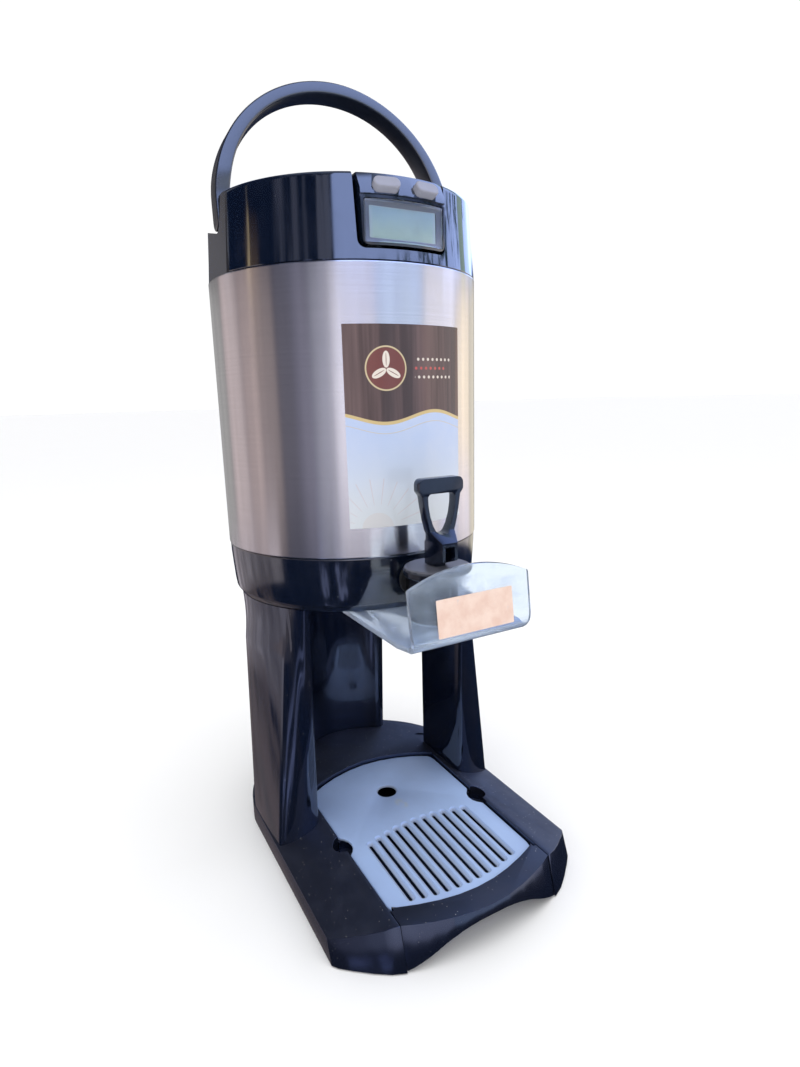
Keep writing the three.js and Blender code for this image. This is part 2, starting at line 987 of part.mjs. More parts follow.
// right half of the base's rear outline, from the leg round to the middle
const rearHalf = [
  [X_BASE, 4],
  [112, 14],
  [109, 26],
  [105, 38],
  [99.5, 50],
  [86, 64.6],
  [66, 80.6],
  [48, 95],
  [28, 104.2],
  [0, 108.5],
];
const rearArc = [...rearHalf, ...mirrorX(rearHalf).slice(1)]; // right to left
{
  const arms = [
    [-X_BASE, -177],
    [-110, -181.4],
    [-102.2, -188.4],
    [-89.5, -198.6],
    [-79.4, -205.6],
    [-X_SEAM, -210.4],
    [X_SEAM, -210.4],
    [79.4, -205.6],
    [89.5, -198.6],
    [102.2, -188.4],
    [110, -181.4],
    [X_BASE, -177],
  ];
  const outline = [...arms, ...rearArc];
  // the front ends lean back going up
  let base = raised(outline, 1, Z_DECK, {
    map: (x, y, z) => [
      x,
      y < -150
        ? y + (z - 1) * lerp(0.29, 0.4, clamp01((Math.abs(x) - X_SEAM) / 42))
        : y,
      z,
    ],
  });
  // sloping shoulders of the two arms
  const wedge = [
    [X_CREASE, Z_DECK],
    [120, slopeZ(120)],
    [120, 60],
    [X_CREASE, 60],
  ];
  for (const k of [1, -1])
    base = cut(base, sideways(alongY(wedge, -240, 20), k));
  // the same fall round the back
  base = cut(
    base,
    turned(
      [
        [80, Z_DECK],
        [130, Z_DECK - 50 * 0.36],
        [130, 60],
        [80, 60],
      ],
      { closed: true },
    ).intersect(box(-140, 140, 8, 140, 0, 80)),
  );
  // bay of the drip tray
  const bayHalf = [
    [X_SEAM, -240],
    [X_SEAM, -22],
    [67, -19.5],
    [54, -12.2],
    [36, -4.8],
    [18, -0.2],
    [0, 1.6],
  ];
  const bay = [...bayHalf, ...mirrorX(bayHalf).slice(1)];
  base = cut(base, raised(bay, 3.6, 60));
  base = cut(base, raised([[-X_SEAM, -240], [X_SEAM, -240], [X_SEAM, -195.6], [-X_SEAM, -195.6]], -5, 60));
  // finger scoops beside the cover
  for (const k of [1, -1])
    base = cut(base, rod(10.4, 19, 60, 66.8 * k, -101.4, 20));
  // hollow arms, open underneath
  const armCavity = [
    [X_SEAM + 3, 0],
    [X_BASE - 3.4, 0],
    [X_BASE - 3.4, slopeZ(X_BASE - 3.4) - 3.2],
    [X_SEAM + 3, Z_DECK - 3.6],
  ];
  const cav = [];
  for (const k of [1, -1]) {
    let c = alongY(armCavity, -172, 9).intersect(
      raised(
        [
          [X_SEAM + 3, -182],
          [X_SEAM + 10, -182],
          [X_BASE - 3.4, -170],
          [X_BASE - 3.4, 9],
          [X_SEAM + 3, 9],
        ],
        -1,
        40,
      ),
    );
    c = cut(c, box(60, 83, -118, -86, -1, 40)); // solid behind the finger scoop
    cav.push(sideways(c, k));
  }
  base = cut(base, ...cav);
  // hollow back, open underneath
  const inset = rearHalf.map(([x, y]) => [x * 0.963, (y + 60) * 0.975 - 61]);
  const backPlan = [
    [X_BASE - 3.4, 12],
    ...inset.slice(2),
    ...mirrorX(inset.slice(2)).slice(1),
    [-(X_BASE - 3.4), 12],
  ];
  const backCav = union(
    raised(backPlan, -1, 15.2),
    turned([
      [0, -1],
      [76, -1],
      [76, 28.8],
      [0, 28.8],
    ], { seg: 48 }).intersect(box(-72, 72, 12, 90, -2, 40)),
  );
  base = cut(base, backCav);
  // bosses for the feet and the screws
  const foot = (x, y, top) => rod(10.5, 3.4, top, x, y, 16);
  const feet = [
    [97, -160, 19],
    [-97, -160, 19],
    [62, 64, 24],
    [-62, 64, 24],
  ];
  for (const [x, y, top] of feet) base = union(base, foot(x, y, top));
  for (const k of [1, -1]) {
    base = union(base, rod(6, 12, 22.4, 93 * k, -25, 16));
    base = cut(base, rod(2.3, 5, 40, 93 * k, -25, 12), rod(2.3, 5, 40, 40 * k, 76, 12));
  }
  add("base_frame", base, "base_black");
  feet.forEach(([x, y], i) =>
    add(
      "foot_" + (i + 1),
      turned(
        [
          [0, 0],
          [8, 0],
          [9, 0.8],
          [9, 3.1],
          [0, 3.1],
        ],
        { seg: 20 },
      ).translate([x, y, 0]),
      "rubber",
    ),
  );
}
// legs: the outer wall runs from a flat side at the foot to the collar's circle at the top
function legSection(t, inset = 0) {
  // t = 0 at the floor, 1 at the collar; right leg, anticlockwise from the rear inner corner
  const R = R_COLLAR_LOW - 0.6 - inset;
  const top = [],
    low = [];
  const push = (a, b) => {
    low.push(a);
    top.push(b);
  };
  const onR = (deg) => [
    R * Math.sin((deg * Math.PI) / 180),
    -R * Math.cos((deg * Math.PI) / 180),
  ];
  const i = inset;
  push([X_LEG_IN + i, 2.5 - i], [X_LEG_IN + i, 2.5 - i]); // rear inner
  push([X_LEG_IN + i, -59 + i], [X_LEG_IN + i + 0.4, -70 + i]); // front inner
  push([X_LEG_IN + 2.2 + i, -62.6 + i], [X_LEG_IN + 2.8 + i, onR(47)[1] + 0.8]);
  push([85, -66.4 + i], onR(50));
  push([98 - i, -66 + i], onR(53));
  push([108 - i, -62.8 + i], onR(56));
  push([113 - i, -60 + i], onR(58.6)); // crease
  push([113.1 - i, -50], onR(63));
  push([113.2 - i, -36], onR(70));
  push([113.2 - i, -18], onR(79.5));
  push([113.2 - i, 0], onR(88));
  push([113 - i, 9 - i], onR(93.5));
  push([110.6 - i, 13.6 - i], onR(96.5));
  push([105.5 - i, 15.6 - i], [R - 7.5, 13.6 - i]);
  push([97, 14 - i], [94, 11.6 - i]);
  return low.map((p, k) => [lerp(p[0], top[k][0], t), lerp(p[1], top[k][1], t)]);
}
function legSolid(z0, z1, inset) {
  const Z_TOP = Z_COLLAR_LOW;
  const a = legSection(0, inset);
  const steps = 6;
  const g = raised(a, z0, z1, {
    steps,
    map: (x, y, z) => {
      // find the outline point this vertex came from
      let best = 0,
        d = 1e9;
      a.forEach((p, k) => {
        const q = Math.hypot(p[0] - x, p[1] - y);
        if (q < d) {
          d = q;
          best = k;
        }
      });
      const u = clamp01(z / Z_TOP);
      const w = legSection(u, inset)[best];
      // a slight flare just under the collar
      const fl = clamp01((z - 214) / (Z_TOP - 214));
      const k = 1 + (-0.012 * Math.sin(Math.PI * clamp01((z - 190) / (Z_TOP - 190)))) * (w[0] > 90 ? 1 : 0);
      return [w[0] * k, w[1], z + 0 * fl];
    },
  });
  return g;
}
for (const [k, side] of [
  [-1, "left"],
  [1, "right"],
]) {
  let leg = cut(
    legSolid(10, Z_COLLAR_LOW - GAP, 0),
    legSolid(38, Z_COLLAR_LOW + 5, 3),
  );
  // foot of the leg follows the base's sloping top
  leg = cut(
    leg,
    alongY(
      [
        [60, -5],
        [125, -5],
        [125, slopeZ(125) + GAP],
        [X_CREASE, Z_DECK + GAP],
        [60, Z_DECK + GAP],
      ],
      -100,
      30,
    ),
    rod(2.0, 20, 37, 93, -25, 12),
  );
  // behind the flat side the base also falls towards the back
  add("stand_leg_" + side, sideways(leg, k), "stand_black");
  add(
    "leg_screw_" + side,
    turned(
      [
        [0, 8.8],
        [4.2, 8.8],
        [4.2, 11.6],
        [1.9, 11.6],
        [1.9, 34],
        [0, 35.4],
      ],
      { seg: 14 },
    ).translate([93 * k, -25, 0]),
    "screw",
  );
}
{
  const half = (i) => {
    const f = arc(0, 0, 70.5 + i, 90, 51.5, 8).map(([x, y]) => [x, y]);
    return [
      ...f,
      [49 - i * 0.6, 55.3 + i],
      [52.6 - i, 56.6 + i],
      [54 - i, 60 + i * 0.4],
      [55.5 - i, 68],
      [56.5 - i, 80 - i * 0.4],
      [54 - i, 86.5 - i],
      [46 - i * 0.8, 93 - i],
      [28 - i * 0.3, 101.6 - i],
      [0, 105.8 - i],
    ];
  };
  const grow = (x, y, z) => [x * (1 + (0.028 * (z - 33)) / 54), y, z];
  const plan = (i) => {
    const h = half(i);
    return [...h, ...mirrorX(h).slice(1, -1)];
  };
  let col = cut(
    raised(plan(0), 20, Z_COLLAR_LOW - GAP, { map: grow }),
    raised(plan(3), 38, Z_COLLAR_LOW + 5, { map: grow }),
  );
  // its foot follows the deck
  col = cut(
    col,
    turned([
      [0, 0],
      [140, 0],
      [140, Z_DECK - 60 * 0.36 + GAP],
      [80, Z_DECK + GAP],
      [0, Z_DECK + GAP],
    ]),
  );
  for (const k of [1, -1]) col = cut(col, rod(2.0, 20, 37.2, 40 * k, 76, 12));
  add("rear_column", col, "stand_black");
  for (const [k, side] of [
    [-1, "left"],
    [1, "right"],
  ])
    add(
      "column_screw_" + side,
      turned(
        [
          [0, 11.8],
          [4.2, 11.8],
          [4.2, 14.8],
          [1.9, 14.8],
          [1.9, 34.4],
          [0, 35.8],
        ],
        { seg: 14 },
      ).translate([40 * k, 76, 0]),
      "screw",
    );
}

// ---------------------------------------------------------------- drip cover and tray
function coverOutline(o) {
  // o = offset outwards
  const half = [
    [0, 0 + o],
    [18, -1.6 + o],
    [36, -6.2 + o],
    [50, -12 + o],
    [60, -17.6 + o],
    [64.6 + o, -20.4 + o],
    [66.6 + o, -24],
    [67.4 + o, -30],
    [67.6 + o, -88],
  ];
  const notch =
    o > 2
      ? []
      : [
          [67 + o, -89.6],
          [64.2 + o, -92.4],
          [61.8 + o, -96.6],
          [61 + o, -101.4],
          [61.8 + o, -106.2],
          [64.2 + o, -110.4],
          [67 + o, -113.4],
        ];
  const low = [
    [67.6 + o, -115],
    [67.4 + o, -176],
    [66.4 + o, -181.4 - o * 0.4],
    [62.6 + o * 0.6, -184 - o],
    [48, -189.6 - o],
    [32, -194.2 - o],
    [16, -197.2 - o],
    [0, -198.2 - o],
  ];
  const right = [...half, ...notch, ...low];
  return [...right, ...mirrorX(right).slice(1, -1)];
}
{
  let cover = raised(coverOutline(0), Z_COVER_TOP - 3, Z_COVER_TOP);
  // rinse hole with a bevel
  cover = cut(
    cover,
    turned(
      [
        [0, 20],
        [9, 20],
        [9, 27.6],
        [11, Z_COVER_TOP],
        [11, 35],
        [0, 35],
      ],
      { seg: 24 },
    ).translate([0, -51, 0]),
  );
  const stadium = (x, w, y0, y1, z0, z1, n) =>
    raised(
      [
        ...arc(x, y1 - w / 2, w / 2, 0, 180, n),
        ...arc(x, y0 + w / 2, w / 2, 180, 360, n),
      ],
      z0,
      z1,
    );
  for (let i = -5; i <= 5; i++) {
    const x = i * 9.52;
    const u = (i / 5) ** 2;
    const yb = -102.8 - 8 * u,
      yf = -189.4 + 7.4 * u;
    // shallow trough, then the slot through its floor
    cover = cut(
      cover,
      stadium(x, 6.8, yf, yb + 3, Z_COVER_TOP - 0.9, 40, 4),
      stadium(x, 3.2, yf + 1.4, yb - 2.6, 10, 40, 3),
    );
  }
  add("drip_cover", cover, "cover");
}
{
  const frontEdge = [
    [X_SEAM - 0.6, -200.6],
    [58, -205.6],
    [46, -210],
    [32, -214],
    [16, -217],
    [0, -218],
  ];
  const halfBack = [
    [0, 1.2],
    [18, -0.6],
    [36, -5.2],
    [54, -12.6],
    [67, -20],
    [X_SEAM - 0.6, -23],
  ];
  const right = [...halfBack, ...frontEdge];
  const plan = [...right, ...mirrorX(right).slice(1, -1)];
  let tray = raised(plan, 1, Z_DECK, {
    map: (x, y, z) => [x, y < -199 ? y - (9 * (Z_DECK - z)) / 32 : y, z],
  });
  // under the basin the tray is cut away so that it rests on the base's floor
  tray = cut(tray, box(-80, 80, -196, 20, -5, 3.9));
  // seat of the cover
  tray = cut(tray, raised(coverOutline(0.5), Z_COVER_TOP - 3.3, 60));
  tray = cut(tray, box(-80, 80, -180, 20, Z_COVER_TOP - 3.3, 60));
  tray = cut(tray, box(-80, 80, -186, -179, Z_COVER_TOP - 3.3, 60).intersect(union(box(66, 80, -190, -170, 0, 60), box(-80, -66, -190, -170, 0, 60))));
  // basin
  const basin = [
    [-65.4, -176],
    [-58, -184],
    [-40, -190],
    [-20, -193.4],
    [0, -194.4],
    [20, -193.4],
    [40, -190],
    [58, -184],
    [65.4, -176],
    [65.4, -24],
    [52, -15],
    [34, -8],
    [17, -3.6],
    [0, -2],
    [-17, -3.6],
    [-34, -8],
    [-52, -15],
    [-65.4, -24],
  ];
  let basinCut = raised(basin, 6.4, 60);
  for (const k of [1, -1])
    basinCut = cut(basinCut, rod(13, 0, 80, 66.8 * k, -101.4, 20));
  tray = cut(tray, basinCut);
  // finger scoops beside the cover
  for (const k of [1, -1]) tray = cut(tray, rod(10.4, 19, 60, 66.8 * k, -101.4, 20));
  // finger-pull arch under the front lip
  const archHalf = [
    [68.8, 1.9],
    [64, 3.6],
    [58, 6.8],
    [52, 9.8],
    [42, 15.4],
    [32, 20],
    [22, 23.2],
    [12, 25.2],
    [0, 25.9],
  ];
  const archTop = [...archHalf, ...mirrorX(archHalf).slice(1)];
  tray = cut(
    tray,
    alongY([[68.8, -10], ...archTop, [-68.8, -10]], -245, -198.8),
  );
  add("drip_tray", tray, "base_black");
}

group.position.y = Y_OFFSET;
group.updateMatrixWorld(true);
export default group;
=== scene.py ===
"""Looks of the insulated beverage dispenser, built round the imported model.

Shapes are laid out in millimetres about the axis of the steel body (front towards -Y) and then moved into
the model's frame, in metres.
"""
import math

import bmesh
import bpy
from mathutils import Matrix, Vector


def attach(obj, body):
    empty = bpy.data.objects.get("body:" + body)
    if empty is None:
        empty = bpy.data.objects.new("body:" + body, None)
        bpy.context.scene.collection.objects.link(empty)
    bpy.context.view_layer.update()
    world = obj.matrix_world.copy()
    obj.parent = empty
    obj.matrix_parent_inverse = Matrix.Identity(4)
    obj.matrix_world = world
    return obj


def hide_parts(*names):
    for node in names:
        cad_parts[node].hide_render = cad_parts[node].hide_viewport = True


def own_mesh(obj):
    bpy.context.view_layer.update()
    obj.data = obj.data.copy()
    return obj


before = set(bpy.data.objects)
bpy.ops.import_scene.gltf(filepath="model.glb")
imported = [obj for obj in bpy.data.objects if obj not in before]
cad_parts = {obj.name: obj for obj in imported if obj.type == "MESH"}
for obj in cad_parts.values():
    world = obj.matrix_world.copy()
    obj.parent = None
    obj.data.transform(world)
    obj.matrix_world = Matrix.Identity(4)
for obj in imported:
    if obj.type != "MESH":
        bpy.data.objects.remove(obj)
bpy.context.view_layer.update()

OFF = 53.0  # from the body's axis to the middle of the footprint, mm
pi = math.pi


# ------------------------------------------------------------------ mesh helpers
def link(name, me):
    ob = bpy.data.objects.new(name, me)
    bpy.context.scene.collection.objects.link(ob)
    return ob


def mesh(name, verts, faces):
    me = bpy.data.meshes.new(name)
    me.from_pydata([tuple(v) for v in verts], [], [tuple(f) for f in faces])
    bm = bmesh.new()
    bm.from_mesh(me)
    bmesh.ops.remove_doubles(bm, verts=bm.verts, dist=1e-5)
    bmesh.ops.recalc_face_normals(bm, faces=bm.faces)
    bm.to_mesh(me)
    bm.free()
    me.update()
    return link(name, me)


def clamp01(t):
    return max(0.0, min(1.0, t))


def arc(cx, cy, r, a0, a1, n, ry=None):
    ry = r if ry is None else ry
    return [
        (
            cx + r * math.cos(math.radians(a0 + (a1 - a0) * i / n)),
            cy + ry * math.sin(math.radians(a0 + (a1 - a0) * i / n)),
        )
        for i in range(n + 1)
    ]


def fillet(points, radii, n=4, closed=True):
    """Rounds the corners of a polygon or an open profile."""
    out = []
    L = len(points)
    for i, p in enumerate(points):
        r = radii[i] if isinstance(radii, (list, tuple)) else radii
        if not r or (not closed and i in (0, L - 1)):
            out.append(tuple(p))
            continue
        a, b = points[i - 1], points[(i + 1) % L]
        ua, ub = (a[0] - p[0], a[1] - p[1]), (b[0] - p[0], b[1] - p[1])
        la, lb = math.hypot(*ua), math.hypot(*ub)
        da, db = (ua[0] / la, ua[1] / la), (ub[0] / lb, ub[1] / lb)
        dot = max(-1, min(1, da[0] * db[0] + da[1] * db[1]))
        ang = math.acos(dot)
        if ang > math.radians(179):
            out.append(tuple(p))
            continue
        t = min(r / math.tan(ang / 2), 0.49 * la, 0.49 * lb)
        rr = t * math.tan(ang / 2)
        bis = (da[0] + db[0], da[1] + db[1])
        lbis = math.hypot(*bis)
        d = rr / math.sin(ang / 2)
        c = (p[0] + bis[0] / lbis * d, p[1] + bis[1] / lbis * d)
        s0 = (p[0] + da[0] * t, p[1] + da[1] * t)
        s1 = (p[0] + db[0] * t, p[1] + db[1] * t)
        a0 = math.atan2(s0[1] - c[1], s0[0] - c[0])
        a1 = math.atan2(s1[1] - c[1], s1[0] - c[0])
        dd = (a1 - a0 + pi) % (2 * pi) - pi
        for k in range(n + 1):
            q = a0 + dd * k / n
            out.append((c[0] + rr * math.cos(q), c[1] + rr * math.sin(q)))
    return out


def lathe(name, profile, seg=256, closed=False, x=0.0, y=0.0):
    verts, faces, rings = [], [], []
    for r, z in profile:
        if r < 1e-6:
            rings.append([len(verts)])
            verts.append((x, y, z))
        else:
            rings.append(list(range(len(verts), len(verts) + seg)))
            for i in range(seg):
                a = 2 * pi * i / seg
                verts.append((x + r * math.cos(a), y + r * math.sin(a), z))
    pairs = list(zip(rings, rings[1:])) + ([(rings[-1], rings[0])] if closed else [])
    for A, B in pairs:
        if len(A) == 1 and len(B) == 1:
            continue
        for i in range(seg):
            j = (i + 1) % seg
            if len(A) == 1:
                faces.append((A[0], B[i], B[j]))
            elif len(B) == 1:
                faces.append((A[i], A[j], B[0]))
            else:
                faces.append((A[i], A[j], B[j], B[i]))
    return mesh(name, verts, faces)


def prism(name, outline, lo, hi, axis="z", steps=1, bend=None):
    """A polygon run along an axis, with an optional map of each point."""
    n = len(outline)
    verts, faces = [], []
    for s in range(steps + 1):
        h = lo + (hi - lo) * s / steps
        for a, b in outline:
            p = {"z": (a, b, h), "y": (a, h, b), "x": (h, a, b)}[axis]
            verts.append(bend(*p) if bend else p)
    for s in range(steps):
        for i in range(n):
            j = (i + 1) % n
            faces.append((s * n + i, s * n + j, (s + 1) * n + j, (s + 1) * n + i))
    faces.append(tuple(range(n)))
    faces.append(tuple(range(steps * n, steps * n + n)))
    return mesh(name, verts, faces)


def loft(name, rings, caps=True):
    """Closed rings of equal length joined in order."""
    n = len(rings[0])
    verts = [p for r in rings for p in r]
    faces = []
    for s in range(len(rings) - 1):
        for i in range(n):
            j = (i + 1) % n
            faces.append((s * n + i, s * n + j, (s + 1) * n + j, (s + 1) * n + i))
    if caps:
        faces.append(tuple(range(n)))
        faces.append(tuple(range((len(rings) - 1) * n, len(rings) * n)))
    return mesh(name, verts, faces)


def block(name, x0, x1, y0, y1, z0, z1):
    return prism(name, [(x0, y0), (x1, y0), (x1, y1), (x0, y1)], z0, z1)


def baked(ob):
    bpy.context.view_layer.update()
    dg = bpy.context.evaluated_depsgraph_get()
    me = bpy.data.meshes.new_from_object(ob.evaluated_get(dg))
    old = ob.data
    ob.modifiers.clear()
    ob.data = me
    if old.users == 0:
        bpy.data.meshes.remove(old)
    return ob


def boolean(ob, op, *others, keep=False):
    for o in others:
        m = ob.modifiers.new("b", "BOOLEAN")
        m.operation = op
        m.object = o
        m.solver = "MANIFOLD"
        copy = ob.data.copy()
        baked(ob)
        if len(ob.data.polygons) == 0 or (op == "UNION" and len(ob.data.polygons) < 4):
            ob.data = copy
            m = ob.modifiers.new("b", "BOOLEAN")
            m.operation = op
            m.object = o
            m.solver = "EXACT"
            baked(ob)
        if not keep:
            bpy.data.objects.remove(o)
    return ob


def cut(ob, *others):
    return boolean(ob, "DIFFERENCE", *others)


def union(ob, *others):
    return boolean(ob, "UNION", *others)


def both(ob, other):
    return boolean(ob, "INTERSECT", other)


def mirrored(ob, name):
    me = ob.data.copy()
    me.transform(Matrix.Diagonal((-1, 1, 1, 1)))
    me.flip_normals()
    return link(name, me)


def tidy(ob):
    """Merges the specks of vertices that a cut leaves."""
    bm = bmesh.new()
    bm.from_mesh(ob.data)
    bmesh.ops.remove_doubles(bm, verts=bm.verts, dist=0.004)
    bmesh.ops.dissolve_degenerate(bm, edges=bm.edges, dist=0.004)
    bm.to_mesh(ob.data)
    bm.free()
    return ob


def planar(ob, angle=0.4):
    """Joins coplanar faces, so that an edge can be rounded evenly."""
    m = ob.modifiers.new("d", "DECIMATE")
    m.decimate_type = "DISSOLVE"
    m.angle_limit = math.radians(angle)
    return baked(ob)


def rounded_edges(ob, width, seg=2, angle=38, clamp=True):
    m = ob.modifiers.new("r", "BEVEL")
    m.width = width
    m.segments = seg
    m.limit_method = "ANGLE"
    m.angle_limit = math.radians(angle)
    m.use_clamp_overlap = clamp
    m.miter_outer = "MITER_ARC"
    return baked(ob)


def place(ob):
    ob.data.transform(Matrix.Translation((0, OFF * 0.001, 0)) @ Matrix.Scale(0.001, 4))
    ob.data.update()
    return ob


def piece(ob, body, mat, nodes=(), angle=32):
    """Moves a finished shape into the model's frame and dresses it."""
    place(ob)
    for p in ob.data.polygons:
        p.use_smooth = True
    ob.data.set_sharp_from_angle(angle=math.radians(angle))
    ob.data.materials.clear()
    ob.data.materials.append(mat)
    if nodes:
        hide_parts(*nodes)
    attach(ob, body)
    return ob


# ------------------------------------------------------------------ material helpers
class Tree:
    """Short names for shader nodes."""

    def __init__(self, name):
        self.mat = bpy.data.materials.new(name)
        self.mat.use_nodes = True
        self.nt = self.mat.node_tree
        self.bsdf = next(n for n in self.nt.nodes if n.type == "BSDF_PRINCIPLED")
        self._obj = None

    def put(self, socket, v):
        if isinstance(v, bpy.types.NodeSocket):
            self.nt.links.new(v, socket)
        elif isinstance(v, (tuple, list)) and len(v) == 3 and socket.type == "RGBA":
            socket.default_value = (*v, 1)
        else:
            socket.default_value = v

    def set(self, **kw):
        names = {
            "base": "Base Color",
            "rough": "Roughness",
            "metal": "Metallic",
            "ior": "IOR",
            "alpha": "Alpha",
            "spec": "Specular IOR Level",
            "tint": "Specular Tint",
            "aniso": "Anisotropic",
            "anisorot": "Anisotropic Rotation",
            "tangent": "Tangent",
            "trans": "Transmission Weight",
            "coat": "Coat Weight",
            "coatrough": "Coat Roughness",
            "coatior": "Coat IOR",
            "coattint": "Coat Tint",
            "sheen": "Sheen Weight",
            "sheenrough": "Sheen Roughness",
            "normal": "Normal",
            "emit": "Emission Color",
            "emitk": "Emission Strength",
        }
        for k, v in kw.items():
            self.put(self.bsdf.inputs[names[k]], v)
        return self

    def co(self):
        if self._obj is None:
            self._obj = self.nt.nodes.new("ShaderNodeTexCoord").outputs["Object"]
        return self._obj

    def xyz(self, v=None):
        n = self.nt.nodes.new("ShaderNodeSeparateXYZ")
        self.put(n.inputs[0], self.co() if v is None else v)
        return n.outputs

    def scaled(self, sx, sy, sz, v=None, loc=(0, 0, 0)):
        n = self.nt.nodes.new("ShaderNodeMapping")
        self.put(n.inputs["Vector"], self.co() if v is None else v)
        n.inputs["Scale"].default_value = (sx, sy, sz)
        n.inputs["Location"].default_value = loc
        return n.outputs[0]

    def noise(self, scale, detail=2.0, rough=0.5, v=None, dist=0.0):
        n = self.nt.nodes.new("ShaderNodeTexNoise")
        self.put(n.inputs["Vector"], self.co() if v is None else v)
        n.inputs["Scale"].default_value = scale
        n.inputs["Detail"].default_value = detail
        n.inputs["Roughness"].default_value = rough
        n.inputs["Distortion"].default_value = dist
        return n.outputs["Fac"] if "Fac" in n.outputs else n.outputs[0]

    def voronoi(self, scale, feature="F1", v=None, out="Distance", rand=1.0):
        n = self.nt.nodes.new("ShaderNodeTexVoronoi")
        n.feature = feature
        self.put(n.inputs["Vector"], self.co() if v is None else v)
        n.inputs["Scale"].default_value = scale
        n.inputs["Randomness"].default_value = rand
        return n.outputs[out]

    def m(self, op, a, b=None, c=None, clamp=False):
        n = self.nt.nodes.new("ShaderNodeMath")
        n.operation = op
        n.use_clamp = clamp
        for i, v in enumerate((a, b, c)):
            if v is not None:
                self.put(n.inputs[i], v)
        return n.outputs[0]

    def step(self, v, lo, hi, a=0.0, b=1.0, smooth=True):
        n = self.nt.nodes.new("ShaderNodeMapRange")
        n.interpolation_type = "SMOOTHSTEP" if smooth else "LINEAR"
        n.clamp = True
        for name, val in (("Value", v), ("From Min", lo), ("From Max", hi), ("To Min", a), ("To Max", b)):
            self.put(n.inputs[name], val)
        return n.outputs[0]

    def mix(self, f, a, b, mode="MIX"):
        n = self.nt.nodes.new("ShaderNodeMix")
        n.data_type = "RGBA"
        n.blend_type = mode
        self.put(n.inputs[0], f)
        self.put(n.inputs[6], a)
        self.put(n.inputs[7], b)
        return n.outputs[2]

    def mixf(self, f, a, b):
        n = self.nt.nodes.new("ShaderNodeMix")
        n.data_type = "FLOAT"
        self.put(n.inputs[0], f)
        self.put(n.inputs[2], a)
        self.put(n.inputs[3], b)
        return n.outputs[0]

    def bump(self, height, strength, distance=0.001, normal=None):
        n = self.nt.nodes.new("ShaderNodeBump")
        self.put(n.inputs["Height"], height)
        n.inputs["Strength"].default_value = strength
        n.inputs["Distance"].default_value = distance
        if normal is not None:
            self.put(n.inputs["Normal"], normal)
        return n.outputs[0]

    def ramp(self, f, stops, mode="LINEAR"):
        n = self.nt.nodes.new("ShaderNodeValToRGB")
        n.color_ramp.interpolation = mode
        el = n.color_ramp.elements
        el[0].position, el[0].color = stops[0][0], (*stops[0][1], 1)
        el[1].position, el[1].color = stops[-1][0], (*stops[-1][1], 1)
        for pos, col in stops[1:-1]:
            e = el.new(pos)
            e.color = (*col, 1)
        self.put(n.inputs[0], f)
        return n.outputs[0]

    def specks(self, scale, size, share, v=None):
        """Small round grains: 1 inside a grain, on a share of the cells."""
        n = self.nt.nodes.new("ShaderNodeTexVoronoi")
        self.put(n.inputs["Vector"], self.co() if v is None else v)
        n.inputs["Scale"].default_value = scale
        d = self.step(n.outputs["Distance"], size * 0.6, size, 1, 0)
        sep = self.nt.nodes.new("ShaderNodeSeparateColor")
        self.put(sep.inputs[0], n.outputs["Color"])
        pick = self.m("LESS_THAN", sep.outputs[0], share)
        return self.m("MULTIPLY", d, pick)


def gloss_black(name, base=(0.0022, 0.0050, 0.0140), rough=0.05, dust=0.25, smudge=0.08, spec=1.0, coat=1.0, coatior=1.75):
    t = Tree(name)
    n1 = t.noise(26, 4, 0.6)
    n2 = t.noise(110, 3, 0.6)
    streak = t.noise(1, 3, 0.6, t.scaled(160, 160, 9))
    film = t.step(t.m("MULTIPLY", n1, t.m("ADD", streak, 0.35)), 0.28, 0.62)
    grains = t.m("MAXIMUM", t.specks(420, 0.16, 0.035), t.specks(150, 0.075, 0.05))
    grains = t.m("MULTIPLY", grains, dust)
    col = t.mix(t.m("MULTIPLY", film, 0.35), base, tuple(min(1, c * 1.9 + 0.002) for c in base))
    col = t.mix(grains, col, (0.42, 0.41, 0.40))
    r = t.m("ADD", t.m("MULTIPLY", film, smudge), rough)
    r = t.m("ADD", r, t.m("MULTIPLY", t.step(n2, 0.45, 0.75), smudge * 0.4))
    r = t.m("ADD", r, t.m("MULTIPLY", grains, 0.5))
    wave = t.noise(9, 1, 0.4)
    nrm = t.bump(wave, 0.12, 0.0012)
    nrm = t.bump(t.noise(1500, 2, 0.5), 0.03, 0.0001, nrm)
    t.set(base=col, rough=r, ior=1.5, spec=spec, coat=coat, coatrough=0.03, coatior=coatior, normal=nrm)
    return t.mat


def satin(name, base, rough=0.4, grain=0.12, var=0.25, dust=0.15, spec=0.5, grain_scale=2600, coat=0.0, coatrough=0.2, coatior=1.7):
    t = Tree(name)
    big = t.noise(14, 4, 0.6)
    fine = t.noise(grain_scale, 2, 0.6)
    grains = t.m("MULTIPLY", t.m("MAXIMUM", t.specks(500, 0.15, 0.05), t.specks(170, 0.07, 0.05)), dust)
    lo = tuple(c * (1 - var) for c in base)
    hi = tuple(min(1, c * (1 + var)) for c in base)
    col = t.mix(t.step(big, 0.3, 0.7), lo, hi)
    col = t.mix(grains, col, (0.5, 0.49, 0.47))
    r = t.m("ADD", t.m("MULTIPLY", big, 0.14), rough - 0.05)
    nrm = t.bump(fine, grain, 0.00012)
    t.set(base=col, rough=r, spec=spec, normal=nrm)
    if coat:
        t.set(coat=coat, coatrough=coatrough, coatior=coatior)
    return t.mat


M = {}


